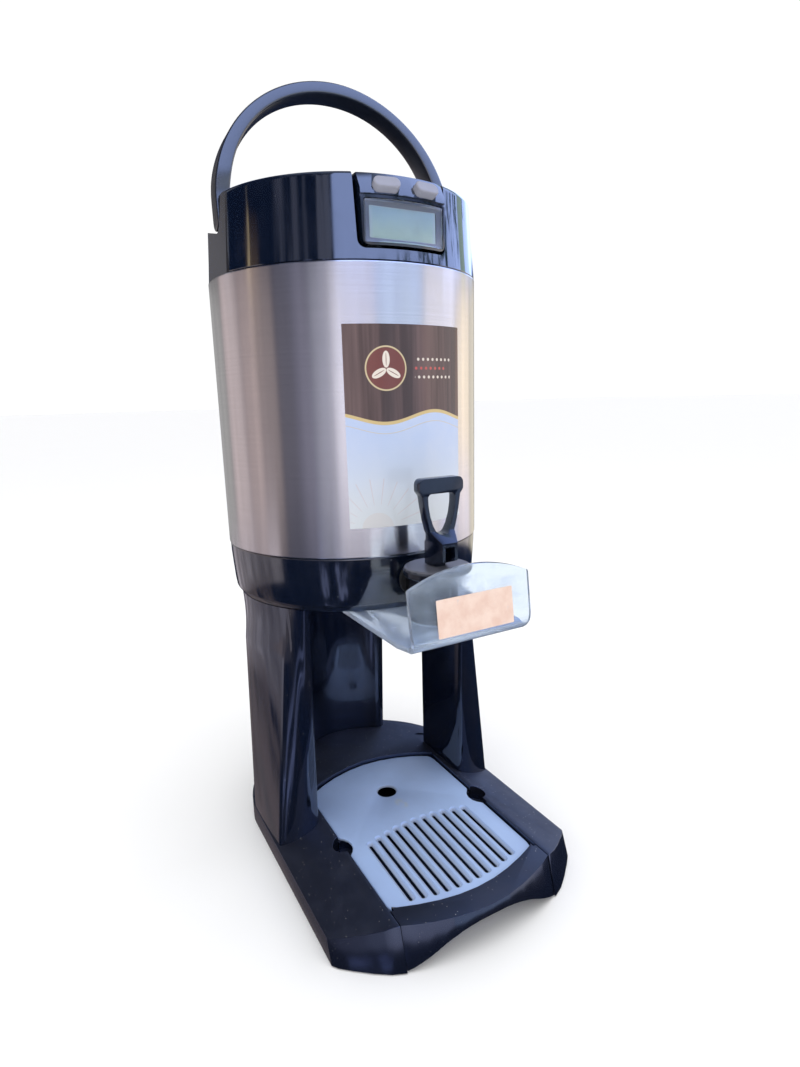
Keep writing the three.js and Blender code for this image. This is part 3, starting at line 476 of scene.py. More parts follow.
# --- brushed steel: fine grain round the body
def make_steel(name, tone=(0.70, 0.68, 0.685), rough=0.22):
    t = Tree(name)
    g1 = t.noise(1, 3, 0.7, t.scaled(4, 4, 3200))
    g2 = t.noise(1, 2, 0.6, t.scaled(9, 9, 1100))
    cloud = t.noise(11, 4, 0.65)
    smear = t.noise(1, 4, 0.6, t.scaled(70, 70, 5))
    lines = t.m("ADD", t.m("MULTIPLY", g1, 0.6), t.m("MULTIPLY", g2, 0.4))
    col = t.mix(t.step(lines, 0.25, 0.75), tuple(c * 0.94 for c in tone), tuple(min(1, c * 1.05) for c in tone))
    col = t.mix(t.m("MULTIPLY", t.step(smear, 0.45, 0.8), 0.16), col, (0.44, 0.40, 0.38))
    marks = t.m("MULTIPLY", t.specks(95, 0.04, 0.04), 0.5)
    col = t.mix(marks, col, (0.16, 0.13, 0.12))
    r = t.m("ADD", t.m("MULTIPLY", lines, 0.05), rough - 0.05)
    r = t.m("ADD", r, t.m("MULTIPLY", t.step(cloud, 0.45, 0.8), 0.05))
    tan = t.nt.nodes.new("ShaderNodeTangent")
    tan.direction_type = "RADIAL"
    tan.axis = "Z"
    t.set(base=col, rough=r, metal=1.0, aniso=0.75, anisorot=0.25, tangent=tan.outputs[0], normal=t.bump(g1, 0.05, 0.00012))
    return t.mat


M["steel"] = make_steel("brushed_steel")
M["inner_steel"] = make_steel("inner_steel", (0.6, 0.6, 0.6), 0.35)
M["lid"] = gloss_black("lid_gloss", base=(0.0015, 0.0036, 0.0105))
M["collar"] = gloss_black("collar_gloss", base=(0.0022, 0.0046, 0.0125), rough=0.08, dust=0.35, coat=0.6)
M["display_black"] = gloss_black("display_gloss", base=(0.0030, 0.0055, 0.0130), rough=0.07, dust=0.2)
M["tap_black"] = gloss_black("tap_gloss", base=(0.004, 0.004, 0.0055), rough=0.16, dust=0.35, spec=0.8, coat=0.4)
M["handle"] = satin("handle_satin", (0.0075, 0.010, 0.018), 0.27, 0.10, 0.2, 0.10, 1.0, coat=0.75, coatrough=0.22, coatior=1.75)
M["button"] = satin("button_grey", (0.31, 0.315, 0.385), 0.42, 0.08, 0.1, 0.0)
M["rubber"] = satin("black_rubber", (0.020, 0.020, 0.021), 0.75, 0.3, 0.2, 0.3, 0.3, 900)
M["tube"] = satin("tube_plastic", (0.75, 0.74, 0.69), 0.38, 0.05, 0.06, 0.0)
M["board"] = satin("circuit_board", (0.02, 0.17, 0.07), 0.4, 0.1, 0.3, 0.0)
M["battery"] = satin("battery_case", (0.35, 0.36, 0.38), 0.35, 0.05, 0.12, 0.0)
M["screw"] = make_steel("screw_steel", (0.55, 0.55, 0.55), 0.3)


# ------------------------------------------------------------------ steel body
steel = lathe(
    "steel_shell",
    [
        (112.8, 277.8),
        (113.6, 277.8),
        (113.9, 278.0),
        (114, 278.3),
        (114, 278.9),
        (114, 300),
        (114, 470),
        (114, 493.9),
        (114, 494.5),
        (113.9, 494.8),
        (113.6, 495),
        (57, 495),
        (57, 493.7),
        (112.8, 493.7),
    ],
    320,
    closed=True,
)
piece(steel, "frame", M["steel"], ["body_shell"])

# ------------------------------------------------------------------ lid
PY, PZ = -0.7, 538.0  # the handle's hinge line
lid_outer = (
    [(113.2, 495.3), (113.65, 495.45), (113.8, 495.9), (113.74, 496.7), (112.6, 511), (111.6, 528), (110.7, 544), (110.35, 549.5)]
    + arc(106.9, 550.6, 3.4, 2, 90, 16)
)


def make_lid():
    ring = lathe(
        "lid_shell",
        lid_outer
        + [(63.2, 554), (62.45, 553.7), (62.2, 553), (62.2, 495.3), (65, 495.3), (65, 551), (103.2, 551), (106.4, 546), (110.6, 495.3)],
        288,
        closed=True,
    )
    for k in (1, -1):
        inner = [(r - 0.8, z) for r, z in lid_outer]
        core = lathe("core", [(0, 495.7)] + [(r, max(495.7, z - 0.8)) for r, z in inner] + [(0, 553.2)], 96)
        a = block("a", *sorted((102.5 * k, 116 * k)), -60, 60, 495, 521)
        b = block("b", *sorted((83 * k, 116 * k)), -40, 72, 519, 556)
        union(a, b)
        both(a, core)
        union(ring, a)
    for k in (1, -1):
        # drafted facet, with a narrow slanting strip along its front edge
        cut(ring, prism("f", [(110.5 * k, 480), (125 * k, 480), (125 * k, 565), (105.4 * k, 565)], -70, 70, "y"))
        strip = prism("s", [(113.3 * k, 480), (130 * k, 480), (130 * k, 565), (108.2 * k, 565)], -60, 45, "y")
        strip.data.transform(Matrix.Rotation(math.radians(-7.8 * k), 4, "Z"))
        cut(ring, strip)
        strip = prism("s", [(113.3 * k, 480), (130 * k, 480), (130 * k, 565), (108.2 * k, 565)], -45, 70, "y")
        strip.data.transform(Matrix.Rotation(math.radians(7.8 * k), 4, "Z"))
        cut(ring, strip)
        fan = (
            [(PY - 8.4, PZ + 30), (PY - 8.4, PZ - 1)]
            + arc(PY, PZ, 9.2, 205, 300, 10)
            + [(PY + 66, PZ + 6.5), (PY + 66, PZ + 30)]
        )
        x0, x1 = sorted((94.8 * k, 122 * k))
        cut(ring, prism("p", fan, x0, x1, "x"))
        bevel = [(94 * k, 533), (100 * k, 533), (100 * k, 560), (82.6 * k, 560), (82.6 * k, 555.2)]
        cut(ring, prism("q", bevel, PY + 3, PY + 66, "y"))
        cut(ring, lathe_x("h", 4.05, *sorted((89.6 * k, 98 * k)), PY, PZ, 32))
    door = fillet([(-37.9, 562), (-36.6, 503.2), (36.6, 503.2), (37.9, 562)], [0, 6, 6, 0], 8)
    cut(ring, prism("d", door, -126, -85.5, "y"))
    tidy(ring)
    return ring


def lathe_x(name, r, x0, x1, y, z, seg=48):
    return prism(name, arc(y, z, r, 0, 360 - 360 / seg, seg - 1), x0, x1, "x")


def lathe_y(name, r, y0, y1, x, z, seg=48):
    return prism(name, arc(x, z, r, 0, 360 - 360 / seg, seg - 1), y0, y1, "y")


def stick(name, r, z0, z1, x, y, seg=48):
    return prism(name, arc(x, y, r, 0, 360 - 360 / seg, seg - 1), z0, z1)


piece(make_lid(), "frame", M["lid"], ["top_cover"], 6.5)

# fill lid with its funnel, and an arrow-free turning rim
fill = lathe(
    "brew_lid",
    fillet(
        [
            (61.6, 517),
            (61.6, 553.8),
            (55.0, 553.8),
            (51.6, 550.8),
            (14, 532.6),
            (7.1, 532),
            (7.1, 512.5),
            (57, 512.5),
        ],
        [0, 1.8, 2.2, 3, 3, 0.6, 0.3, 1],
        4,
    ),
    192,
    closed=True,
)
for i in range(24):  # finger grips round the rim
    a = 2 * pi * i / 24 + 0.13
    cut(fill, stick("g", 1.5, 551, 558, 60.9 * math.cos(a), 60.9 * math.sin(a), 16))
piece(fill, "lid", M["display_black"], ["fill_lid"], 30)
plug = lathe("neck_ring", fillet([(49, 489), (49, 512.2), (45, 512.2), (45, 489)], [1.2, 0.3, 0.3, 1.2], 4), 160, closed=True)
piece(plug, "lid", M["display_black"], ["lid_plug"], 30)


# ------------------------------------------------------------------ carrying handle
def make_handle():
    H, TA, RISE, RISE_IN, ZS, N, N_IN, D, D_TOP = 108, 12, 100.6, 91.2, 552.8, 1.96, 2.03, 7.5, 9.25
    DRAFT = 1.4  # above the lid the inner face drops towards the back
    lean = math.radians(3.6)
    low = PZ - 7.5

    def frame_at(x_out, z_out, x_in, z_in, depth, rc=1.7):
        # rounded section between the outer and the inner point
        dx, dz = x_out - x_in, z_out - z_in
        L = math.hypot(dx, dz)
        ux, uz = dx / L, dz / L
        rc = min(rc, depth * 0.45)
        k = DRAFT * clamp01((depth - D) / (D_TOP - D))
        sec = fillet([(0, -depth), (L, -depth), (L, depth), (-k, depth)], rc, 4)
        out = []
        for s, d in sec:
            x, z = x_in + ux * s, z_in + uz * s
            y = PY + d
            # lean back about the hinge line
            dy, dzz = y - PY, z - PZ
            out.append((x, PY + dy * math.cos(lean) + dzz * math.sin(lean), PZ - dy * math.sin(lean) + dzz * math.cos(lean)))
        return out

    rings = []
    left = []
    for i in range(13):  # rounded lower end
        q = math.radians(4 + 86 * i / 12)
        z = PZ - D * math.cos(q)
        left.append((H, z, H - TA, z, max(0.9, D * math.sin(q))))
    for z in (541, 545, 549):
        left.append((H, z, H - TA, z, D))
    stations = list(left)
    n = 96
    for i in range(n + 1):
        t = pi * i / n
        c, s = math.cos(t), math.sin(t)
        x, z = math.copysign(abs(c) ** (2 / N), c), max(s, 0) ** (2 / N)
        xi, zi = math.copysign(abs(c) ** (2 / N_IN), c), max(s, 0) ** (2 / N_IN)
        zo = ZS + RISE * z
        e = clamp01((zo - 554) / 22)
        stations.append((H * x, zo, (H - TA) * xi, ZS + RISE_IN * zi, D + (D_TOP - D) * e * e * (3 - 2 * e)))
    stations += [(-a, b, -c, d, e) for a, b, c, d, e in reversed(left)]
    for a, b, c, d, e in stations:
        rings.append(frame_at(a, b, c, d, e))
    ob = loft("bail_handle", rings)
    # blind holes for the pins, on the inner faces
    for k in (1, -1):
        cut(ob, lathe_x("h", 4.1, *sorted((90 * k, 101.4 * k)), PY, PZ, 32))
    return ob


piece(make_handle(), "handle", M["handle"], ["carry_handle"], 40)
for k, n in ((-1, "left"), (1, "right")):
    pin = lathe("pin", fillet([(0, 0), (4, 0), (4, 11.2), (0, 11.2)], [0, 0, 0.6, 0], 3, closed=False), 48)
    pin.data.transform(Matrix.Translation((90 * k, PY, PZ)) @ Matrix.Rotation(math.radians(90 * k), 4, "Y"))
    pin.name = "hinge_pin_" + n
    piece(pin, "frame", M["screw"], ["handle_pin_" + n], 35)


# ------------------------------------------------------------------ display
R_DISP = 115.4


def make_display():
    plan = arc(0, 0, R_DISP, -90 - 17.6, -90 + 17.6, 48) + [(34.6, -88), (-34.6, -88)]
    ob = prism("display_case", plan, 505, 553)
    face = fillet([(-35.25, 555), (-34, 505), (34, 505), (35.25, 555)], [0, 5, 5, 0], 8)
    both(ob, prism("f", face, -125, -80, "y"))
    slope = lathe("s", [(116.6, 539.4), (130, 539.4), (130, 560), (106, 560)], 288, closed=True)
    groove = lathe("g", [(114.2, 536.3), (130, 536.3), (130, 538.2), (114.2, 538.2)], 288, closed=True)
    cut(ob, slope, groove)
    win = fillet([(-32.7, 506.7), (32.7, 506.7), (32.7, 535.6), (-32.7, 535.6)], 1.6, 5)
    cut(ob, prism("w", win, -126, -89.8, "y"))
    for x in (-16.2, 15.4):
        cut(ob, button_body(x, 20.7, 9.7, -6.7, 12, 0))
    tidy(ob)
    return ob


def button_body(x, w, h, d0, d1, edge, crown=0.0):
    r = h / 2
    out = arc(w / 2 - r, 0, r, -90, 90, 16) + arc(-(w / 2 - r), 0, r, 90, 270, 16)
    if edge:
        levels = [(d0, 0), (d1 - edge, 0)]
        for q in (20, 40, 60, 80):
            a = math.radians(q)
            levels.append((d1 - edge + edge * math.sin(a), edge * (1 - math.cos(a))))
        levels.append((d1, edge * 1.35))
    else:
        levels = [(d0, 0), (d1, 0)]
    rings = []
    for d, inset in levels:
        rr = r - inset
        o = arc(w / 2 - r, 0, rr, -90, 90, 16) + arc(-(w / 2 - r), 0, rr, 90, 270, 16)
        rings.append([(a, b, d) for a, b in o])
    ob = loft("button", rings)
    y = -math.sqrt(114**2 - x * x)
    ob.data.transform(
        Matrix.Translation((x, y, 543.6))
        @ Matrix.Rotation(math.atan2(x, 112), 4, "Z")
        @ Matrix.Rotation(math.radians(-27.5), 4, "X")
        @ Matrix.Rotation(pi / 2, 4, "X")
    )
    return ob


piece(make_display(), "frame", M["display_black"], ["display_housing"], 28)
for x, n, b in ((-16.2, "left", "button_l"), (15.4, "right", "button_r")):
    ob = button_body(x, 20, 9, -4.9, 5, 1.3)
    ob.name = "push_button_" + n
    piece(ob, b, M["button"], ["button_" + n], 40)


def make_window():
    t = Tree("window_clear")
    haze = t.noise(60, 4, 0.6)
    t.set(
        base=t.mix(t.step(haze, 0.3, 0.8), (0.93, 0.95, 0.97), (0.80, 0.83, 0.86)),
        rough=t.m("ADD", t.m("MULTIPLY", haze, 0.08), 0.02),
        ior=1.49,
        trans=1.0,
        spec=0.6,
    )
    M["window"] = t.mat
    # curved pane: outer and inner skins on the same arc as the case
    n = 40
    rings = []
    for z0 in [507, 507.35, 507.8] + [508.5 + i * 1.3 for i in range(20)] + [534.5, 534.95, 535.3]:
        e = 0.0
        if z0 in (507, 535.3):
            e = 0.45
        elif z0 in (507.35, 534.95):
            e = 0.13
        a = math.degrees(32.3 / R_DISP)
        o = arc(0, 0, R_DISP - 0.2 - e, -90 - a, -90 + a, n)
        i = arc(0, 0, R_DISP - 2.2, -90 + a, -90 - a, n)
        rings.append([(p[0], p[1], z0) for p in o + i])
    return loft("window_pane", rings)


piece(make_window(), "frame", M["window"], ["display_window"], 30)


def make_lcd():
    """Greenish panel behind the pane, set in a grey tray with sloping sides."""
    t = Tree("lcd_glass")
    x, y, z = t.xyz()
    fall = t.step(z, 0.509, 0.535)
    cloud = t.noise(38, 3, 0.5)
    col = t.mix(fall, (0.78, 0.95, 0.74), (0.58, 0.80, 0.90))
    # painted reflection: the pale blotches stand in for reflections on the panel; the panel also runs greener and
    # lighter towards the bottom
    col = t.mix(t.step(cloud, 0.35, 0.75, 0, 0.25), col, (0.88, 0.97, 0.86))
    edge = t.step(t.m("MAXIMUM", t.m("MULTIPLY", t.m("ABSOLUTE", x), 1 / 0.0272), t.m("MULTIPLY", t.m("ABSOLUTE", t.m("SUBTRACT", z, 0.5211)), 1 / 0.0111)), 0.86, 0.97)
    col = t.mix(t.m("MULTIPLY", edge, 0.55), col, (0.80, 0.90, 0.90))
    t.set(base=col, rough=0.28, spec=0.5)
    M["lcd"] = t.mat
    ob = prism("lcd_face", fillet([(-27.2, 510), (27.2, 510), (27.2, 532.2), (-27.2, 532.2)], 0.5, 2), -107.4, -104.4, "y")
    return ob


piece(make_lcd(), "frame", M["lcd"], ["lcd_panel"], 30)


def make_lcd_frame():
    """Grey bezel between the pane and the panel: four sloping walls."""
    rings = []
    for x, z0, z1, y in ((32.0, 507.4, 534.9, -109.4), (31.2, 508.0, 534.3, -108.6), (27.6, 510.4, 531.8, -107.7), (27.4, 510.2, 532.0, -104.4), (32.0, 507.4, 534.9, -104.4)):
        rings.append([(p[0], y, p[1]) for p in fillet([(-x, z0), (x, z0), (x, z1), (-x, z1)], 1.2, 3)])
    rings.append(rings[0])
    return loft("lcd_bezel", rings, caps=False)


M["bezel"] = satin("bezel_grey", (0.34, 0.36, 0.43), 0.30, 0.05, 0.15, 0.0)
piece(make_lcd_frame(), "frame", M["bezel"], (), 30)

# ------------------------------------------------------------------ bottom collar
collar_out = [(106.2, 232.6), (107.0, 232.85), (107.6, 233.6), (110.0, 237.1), (110.5, 238.2), (110.62, 239.0), (111.3, 244), (112.2, 256), (113, 268), (113.23, 276.2), (113.25, 276.9), (113.1, 277.3), (112.6, 277.5)]
collar = lathe(
    "collar_shell",
    [(0, 232.6)] + collar_out + [(110, 277.5), (109.2, 256), (107.4, 241), (105, 236.4), (0, 236.4)],
    288,
)
cut(collar, lathe_y("b", 11.2, -125, -95, 0, 257.5))
for k in (1, -1):
    cut(collar, stick("h", 2.3, 225, 240, 36 * k, -89, 24))
piece(collar, "frame", M["collar"], ["bottom_collar"], 30)

# ------------------------------------------------------------------ tap
TY, TZ = -148.0, 257.5


def make_tap():
    barrel = lathe(
        "tap_shell",
        fillet([(0, 222), (8.6, 222), (9.6, 224), (9.8, 230), (15.5, 239), (16.5, 243), (16.5, 268), (0, 268)], [0, 0.6, 0.8, 3, 4, 2, 0.8, 0], 4, closed=False),
        96,
        x=0,
        y=TY,
    )
    union(barrel, lathe_y("n", 10, TY, -88, 0, TZ, 64), lathe_y("m", 8.2, -90, -78, 0, TZ, 48))
    cheek = rounded_edges(block("c", -11, 11, TY + 8, -117.5, 250, 267.4), 1.6, 4)
    union(barrel, cheek)
    cut(barrel, lathe_y("o", 5.4, TY, -70, 0, TZ, 32), stick("p", 10.4, 243, 270, 0, TY, 64), stick("q", 5.6, 215, 245, 0, TY, 48))
    return tidy(barrel)


piece(make_tap(), "frame", M["tap_black"], ["tap_body"], 34)


def make_bonnet():
    ob = lathe(
        "tap_cap",
        [(0, 262.5), (10, 262.5), (10, 268.3)]
        + fillet([(10, 268.3), (24.6, 268.3), (26, 269.8), (26, 273.2), (24.9, 275.1), (23, 275.7), (0, 275.7)], [0, 0.6, 0.8, 1.0, 1.0, 0.8, 0], 4, closed=False)[1:],
        128,
        y=TY,
    )
    tongue = prism("t", [(TY - 5, 274)] + list(reversed(arc(-148, 284, 5, 0, 180, 16))) + [(TY + 5, 274)], -3.7, 3.7, "x")
    union(ob, tongue)
    cut(ob, stick("p", 3.3, 255, 273, 0, TY, 32), lathe_x("q", 1.7, -6, 6, -148, 284, 24))
    return tidy(ob)




def bonnet_mat():
    t = Tree("bonnet_dust_and_sheen")
    nz = t.xyz(t.nt.nodes.new("ShaderNodeNewGeometry").outputs["Normal"])[2]
    # up-facing faces are painted lighter: partly a dust film, partly a painted sheen standing in for the bright sky
    # reflected in the top
    flat = t.step(nz, 0.25, 0.8)
    n = t.noise(90, 5, 0.65)
    film = t.m("MULTIPLY", flat, t.step(n, 0.22, 0.62, 0.45, 1.0))
    grains = t.m("MAXIMUM", t.specks(520, 0.16, 0.10), t.specks(200, 0.08, 0.10))
    col = t.mix(film, (0.006, 0.008, 0.014), (0.115, 0.118, 0.140))
    col = t.mix(t.m("MULTIPLY", grains, 0.5), col, (0.5, 0.5, 0.5))
    t.set(base=col, rough=t.m("ADD", t.m("MULTIPLY", film, 0.30), 0.15), spec=0.4, normal=t.bump(n, 0.1, 0.0002))
    return t.mat


M["bonnet"] = bonnet_mat()
piece(make_bonnet(), "frame", M["bonnet"], ["tap_bonnet"], 34)


def make_lever():
    yf, bar = -155.4, -147.0
    loop = fillet(
        [(-18.6, 342), (-18.6, 333), (-15.9, 329.6), (-14.6, 321), (-12.7, 311), (-10.6, 303), (-6.4, 295), (6.4, 295), (10.6, 303), (12.7, 311), (14.6, 321), (15.9, 329.6), (18.6, 333), (18.6, 342)],
        [4.6, 3, 3, 6, 6, 5, 0, 0, 5, 6, 6, 3, 3, 4.6],
        6,
    )
    eye = fillet(
        [(-11.9, 330.8), (-11.5, 322), (-10.2, 314.5), (-7.9, 307.5), (-4.2, 300.7), (4.2, 300.7), (7.9, 307.5), (10.2, 314.5), (11.5, 322), (11.9, 330.8)],
        [3, 8, 8, 8, 4.5, 4.5, 8, 8, 8, 3],
        8,
    )
    ob = prism("loop_lever", loop, yf, bar, "y")
    foot = prism("foot", [(-165.4, 281.9), (-165.4, 295.4), (yf, 303), (bar, 301), (-140, 293), (-140, 276.2), (-149, 276.2)], -12, 12, "x")
    both(foot, prism("fv", [(-6.4, 270), (-6.4, 295), (-10.6, 303.2), (10.6, 303.2), (6.4, 295), (6.4, 270)], -170, -130, "y"))
    union(ob, foot)
    cut(ob, prism("e", eye, -170, -130, "y"), block("s", -4.1, 4.1, -170, -141.5, 270, 292.5))
    tidy(ob)
    planar(ob, 0.3)
    rounded_edges(ob, 0.75, 3, 32)
    cut(ob, lathe_x("p", 1.62, -6.2, 8, -148, 284, 24))
    return tidy(ob)


M["lever"] = gloss_black("lever_gloss", base=(0.0028, 0.0045, 0.0110), rough=0.12, dust=0.3, smudge=0.10, spec=0.7, coat=0.1)
M["lever"].node_tree.nodes["Principled BSDF"].inputs["Specular Tint"].default_value = (0.62, 0.74, 1, 1)
piece(make_lever(), "lever", M["lever"], ["tap_lever"], 36)


# ------------------------------------------------------------------ clear splash guard
def guard_front(z):
    return -196.1 + 0.128 * (z - 239)


def make_guard():
    t, zs, rb, split = 3.8, 232.3, 11.0, -185.0
    z1 = zs - t
    side = fillet(
        [(-82, zs), (-82, z1), (guard_front(z1), z1), (guard_front(290), 290), (guard_front(290) + t, 290), (guard_front(zs) + t, zs)],
        [0, 0, rb, 0, 0, rb - t],
        20,
    )
    ob = prism("guard_sheet", side, -50.4, 50.4, "x")
    top = [(50.4 - 100.8 * i / 40, 285 - 11 * (abs(50.4 - 100.8 * i / 40) / 50.4) ** 2) for i in range(41)]
    front = fillet([(-50.4, 243), (-49.4, 236), (-46.5, 225), (46.5, 225), (49.4, 236), (50.4, 243)] + top, [6, 10, 0, 0, 10, 6, 3.5] + [0] * 39 + [3.5], 6)
    plate = prism("p", front, -210, split, "y")
    shelf = prism("s", [(-47.4, split - 0.01), (47.4, split - 0.01), (50.4, split + 12), (50.4, -70), (-50.4, -70), (-50.4, split + 12)], 220, 300)
    union(plate, shelf)
    both(ob, plate)
    cut(ob, stick("h", 13, 220, 240, 0, TY, 64))
    for k in (1, -1):
        cut(ob, stick("h", 2.5, 220, 240, 36 * k, -89, 24))
    tidy(ob)
    planar(ob, 0.3)
    rounded_edges(ob, 0.7, 3, 45)
    return ob


def make_clear():
    t = Tree("guard_clear")
    x, y, z = t.xyz()
    haze = t.noise(45, 5, 0.65)
    wipe = t.noise(1, 4, 0.6, t.scaled(22, 40, 90))
    mud = t.m("MULTIPLY", t.step(haze, 0.35, 0.75), t.step(wipe, 0.3, 0.7))
    specks = t.m("MULTIPLY", t.m("MAXIMUM", t.specks(260, 0.12, 0.10), t.specks(90, 0.05, 0.12)), 0.7)
    # the shelf is hazier than the plate
    shelf = t.step(z, 0.2345, 0.2385, 1, 0)
    col = t.mix(t.m("ADD", t.m("MULTIPLY", mud, 0.35), t.m("MULTIPLY", shelf, 0.3)), (0.80, 0.89, 0.99), (0.56, 0.69, 0.93))
    col = t.mix(specks, col, (0.85, 0.85, 0.85))
    r = t.m("ADD", t.m("MULTIPLY", mud, 0.20), t.m("ADD", t.m("MULTIPLY", shelf, 0.10), 0.04))
    t.set(base=col, rough=r, ior=1.47, spec=0.7, tint=(0.72, 0.84, 1.0), trans=0.9)
    trans = t.mixf(t.m("MAXIMUM", t.m("MULTIPLY", mud, 0.5), t.m("ADD", t.m("MULTIPLY", shelf, 0.45), specks), clamp=True), 0.93, 0.45)
    t.set(trans=trans)
    return t.mat


M["clear"] = make_clear()
piece(make_guard(), "frame", M["clear"], ["splash_guard"], 36)


def make_sticker():
    t = Tree("sticker_peach")
    x, y, z = t.xyz()
    n = t.noise(70, 4, 0.6)
    wear = t.step(t.noise(260, 3, 0.6), 0.62, 0.75)
    col = t.mix(t.step(n, 0.3, 0.7), (0.80, 0.56, 0.46), (0.90, 0.70, 0.60))
    col = t.mix(t.m("MULTIPLY", wear, 0.35), col, (0.65, 0.60, 0.62))
    t.set(base=col, rough=t.m("ADD", t.m("MULTIPLY", n, 0.2), 0.35), normal=t.bump(n, 0.15, 0.0002))
    return t.mat


M["sticker"] = make_sticker()
ob = prism(
    "guard_sticker",
    fillet([(-30.8, 238.8), (33.4, 238.8), (33.4, 265.3), (-30.8, 265.3)], 0.8, 3),
    -1.3,
    -0.95,
    "y",
    bend=lambda x, y, z: (x, y + guard_front(z), z),
)
piece(ob, "frame", M["sticker"], ["guard_label"], 30)

# ------------------------------------------------------------------ stand
DECK, X_BASE, X_SEAM, SLOPE, X_CREASE, COLLAR = 32.6, 113.2, 69.1, 0.34, 72.0, 232.3


def slope_z(x):
    return DECK - SLOPE * max(0.0, abs(x) - X_CREASE)


def catmull(points, corners, sub=6):
    """Smooth closed line through points, sharp at the listed corners."""
    L = len(points)
    out = []
    for i in range(L):
        p1, p2 = points[i], points[(i + 1) % L]
        p0 = points[i - 1] if i not in corners else tuple(2 * a - b for a, b in zip(p1, p2))
        p3 = points[(i + 2) % L] if (i + 1) % L not in corners else tuple(2 * b - a for a, b in zip(p1, p2))
        for s in range(sub):
            t = s / sub
            out.append(
                tuple(
                    0.5 * (2 * b + (c - a) * t + (2 * a - 5 * b + 4 * c - d) * t * t + (3 * b - a - 3 * c + d) * t**3)
                    for a, b, c, d in zip(p0, p1, p2, p3)
                )
            )
    return out


def make_leg():
    R = 107.0

    def on(deg):
        return (R * math.sin(math.radians(deg)), -R * math.cos(math.radians(deg)))

    pairs = [
        ((74, 2.5), (74, 2.5)),
        ((74, -57.5), (74.3, -67.5)),
        ((75.6, -61.9), (76.2, on(47)[1] + 1.2)),
        ((80, -65), on(48.4)),
        ((88, -66.9), on(50.6)),
        ((98, -66.2), on(53)),
        ((107, -63.4), on(55.8)),
        ((111.9, -61), on(58.0)),
        ((113.0, -59.2), on(59.3)),
        ((113.15, -50), on(63)),
        ((113.2, -36), on(70)),
        ((113.2, -18), on(79.5)),
        ((113.2, 0), on(88)),
        ((112.9, 8.6), on(92.8)),
        ((110.6, 13.6), on(96.0)),
        ((105.5, 15.6), (99.4, 13.8)),
        ((97, 14), (94, 11.6)),
    ]
    low = catmull([p[0] for p in pairs], {0, 1, 7, 8}, 5)
    top = catmull([p[1] for p in pairs], {0, 1, 7, 8}, 5)
    rings = []
    n = 44
    for s in range(n + 1):
        v = s / n
        ring = []
        for a, b in zip(low, top):
            zb = slope_z(a[0]) + 0.3
            z = zb + (COLLAR - zb) * v
            u = max(0, min(1, z / 232.6))
            x = a[0] + (b[0] - a[0]) * u
            y = a[1] + (b[1] - a[1]) * u
            w = max(0, min(1, (z - 190) / 42.6))
            if x > 90:
                x *= 1 - 0.012 * math.sin(pi * w)
            ring.append((x, y, z))
        rings.append(ring)
    return loft("stand_side_right", rings)


right_leg = make_leg()
left_leg = mirrored(right_leg, "stand_side_left")


def make_column():
    half = (
        arc(0, 0, 70.5, 90, 51.5, 30)
        + fillet([(43.9, 55.2), (49, 55.3), (52.6, 56.6), (54, 60), (55.5, 68), (56.5, 80), (54, 86.5), (46, 93), (28, 101.6), (0, 105.8)], [0, 2, 2.5, 3, 8, 6, 7, 14, 30, 0], 6, closed=False)[1:]
    )
    other = [(-x, y) for x, y in reversed(half)][1:-1]
    outline = half + other
    rings = []
    n = 36
    for s in range(n + 1):
        v = s / n
        ring = []
        for x, y in outline:
            r = math.hypot(x, y)
            zb = DECK + 0.3 - 0.36 * max(0, r - 80)
            z = zb + (COLLAR - zb) * v
            g = 1 + 0.028 * (z - 33) / 54
            ring.append((x * g, y, z))
        rings.append(ring)
    return loft("stand_back", rings)


def stand_mat():
    t = Tree("stand_gloss")
    n1 = t.noise(20, 4, 0.6)
    streak = t.noise(1, 4, 0.65, t.scaled(130, 130, 5))
    streak2 = t.noise(1, 3, 0.6, t.scaled(420, 420, 12))
    film = t.step(t.m("ADD", t.m("MULTIPLY", streak, 0.6), t.m("MULTIPLY", n1, 0.4)), 0.38, 0.68)
    grains = t.m("MULTIPLY", t.m("MAXIMUM", t.specks(420, 0.15, 0.06), t.specks(140, 0.06, 0.07)), 0.45)
    col = t.mix(t.m("MULTIPLY", film, 0.6), (0.0024, 0.0050, 0.0145), (0.010, 0.010, 0.014))
    col = t.mix(grains, col, (0.40, 0.39, 0.37))
    r = t.m("ADD", t.m("MULTIPLY", film, 0.12), t.m("ADD", t.m("MULTIPLY", streak2, 0.05), 0.05))
    nrm = t.bump(t.noise(7, 1, 0.4), 0.15, 0.0016)
    t.set(base=col, rough=r, ior=1.6, spec=1.0, tint=(0.82, 0.87, 1.0), coat=0.3, coatrough=0.03, coatior=1.5, normal=nrm)
    return t.mat


M["stand"] = stand_mat()
piece(right_leg, "frame", M["stand"], ["stand_leg_right"], 40)
piece(left_leg, "frame", M["stand"], ["stand_leg_left"], 40)
piece(make_column(), "frame", M["stand"], ["rear_column"], 40)


# ------------------------------------------------------------------ base
def lerp(a, b, t):
    return a + (b - a) * t


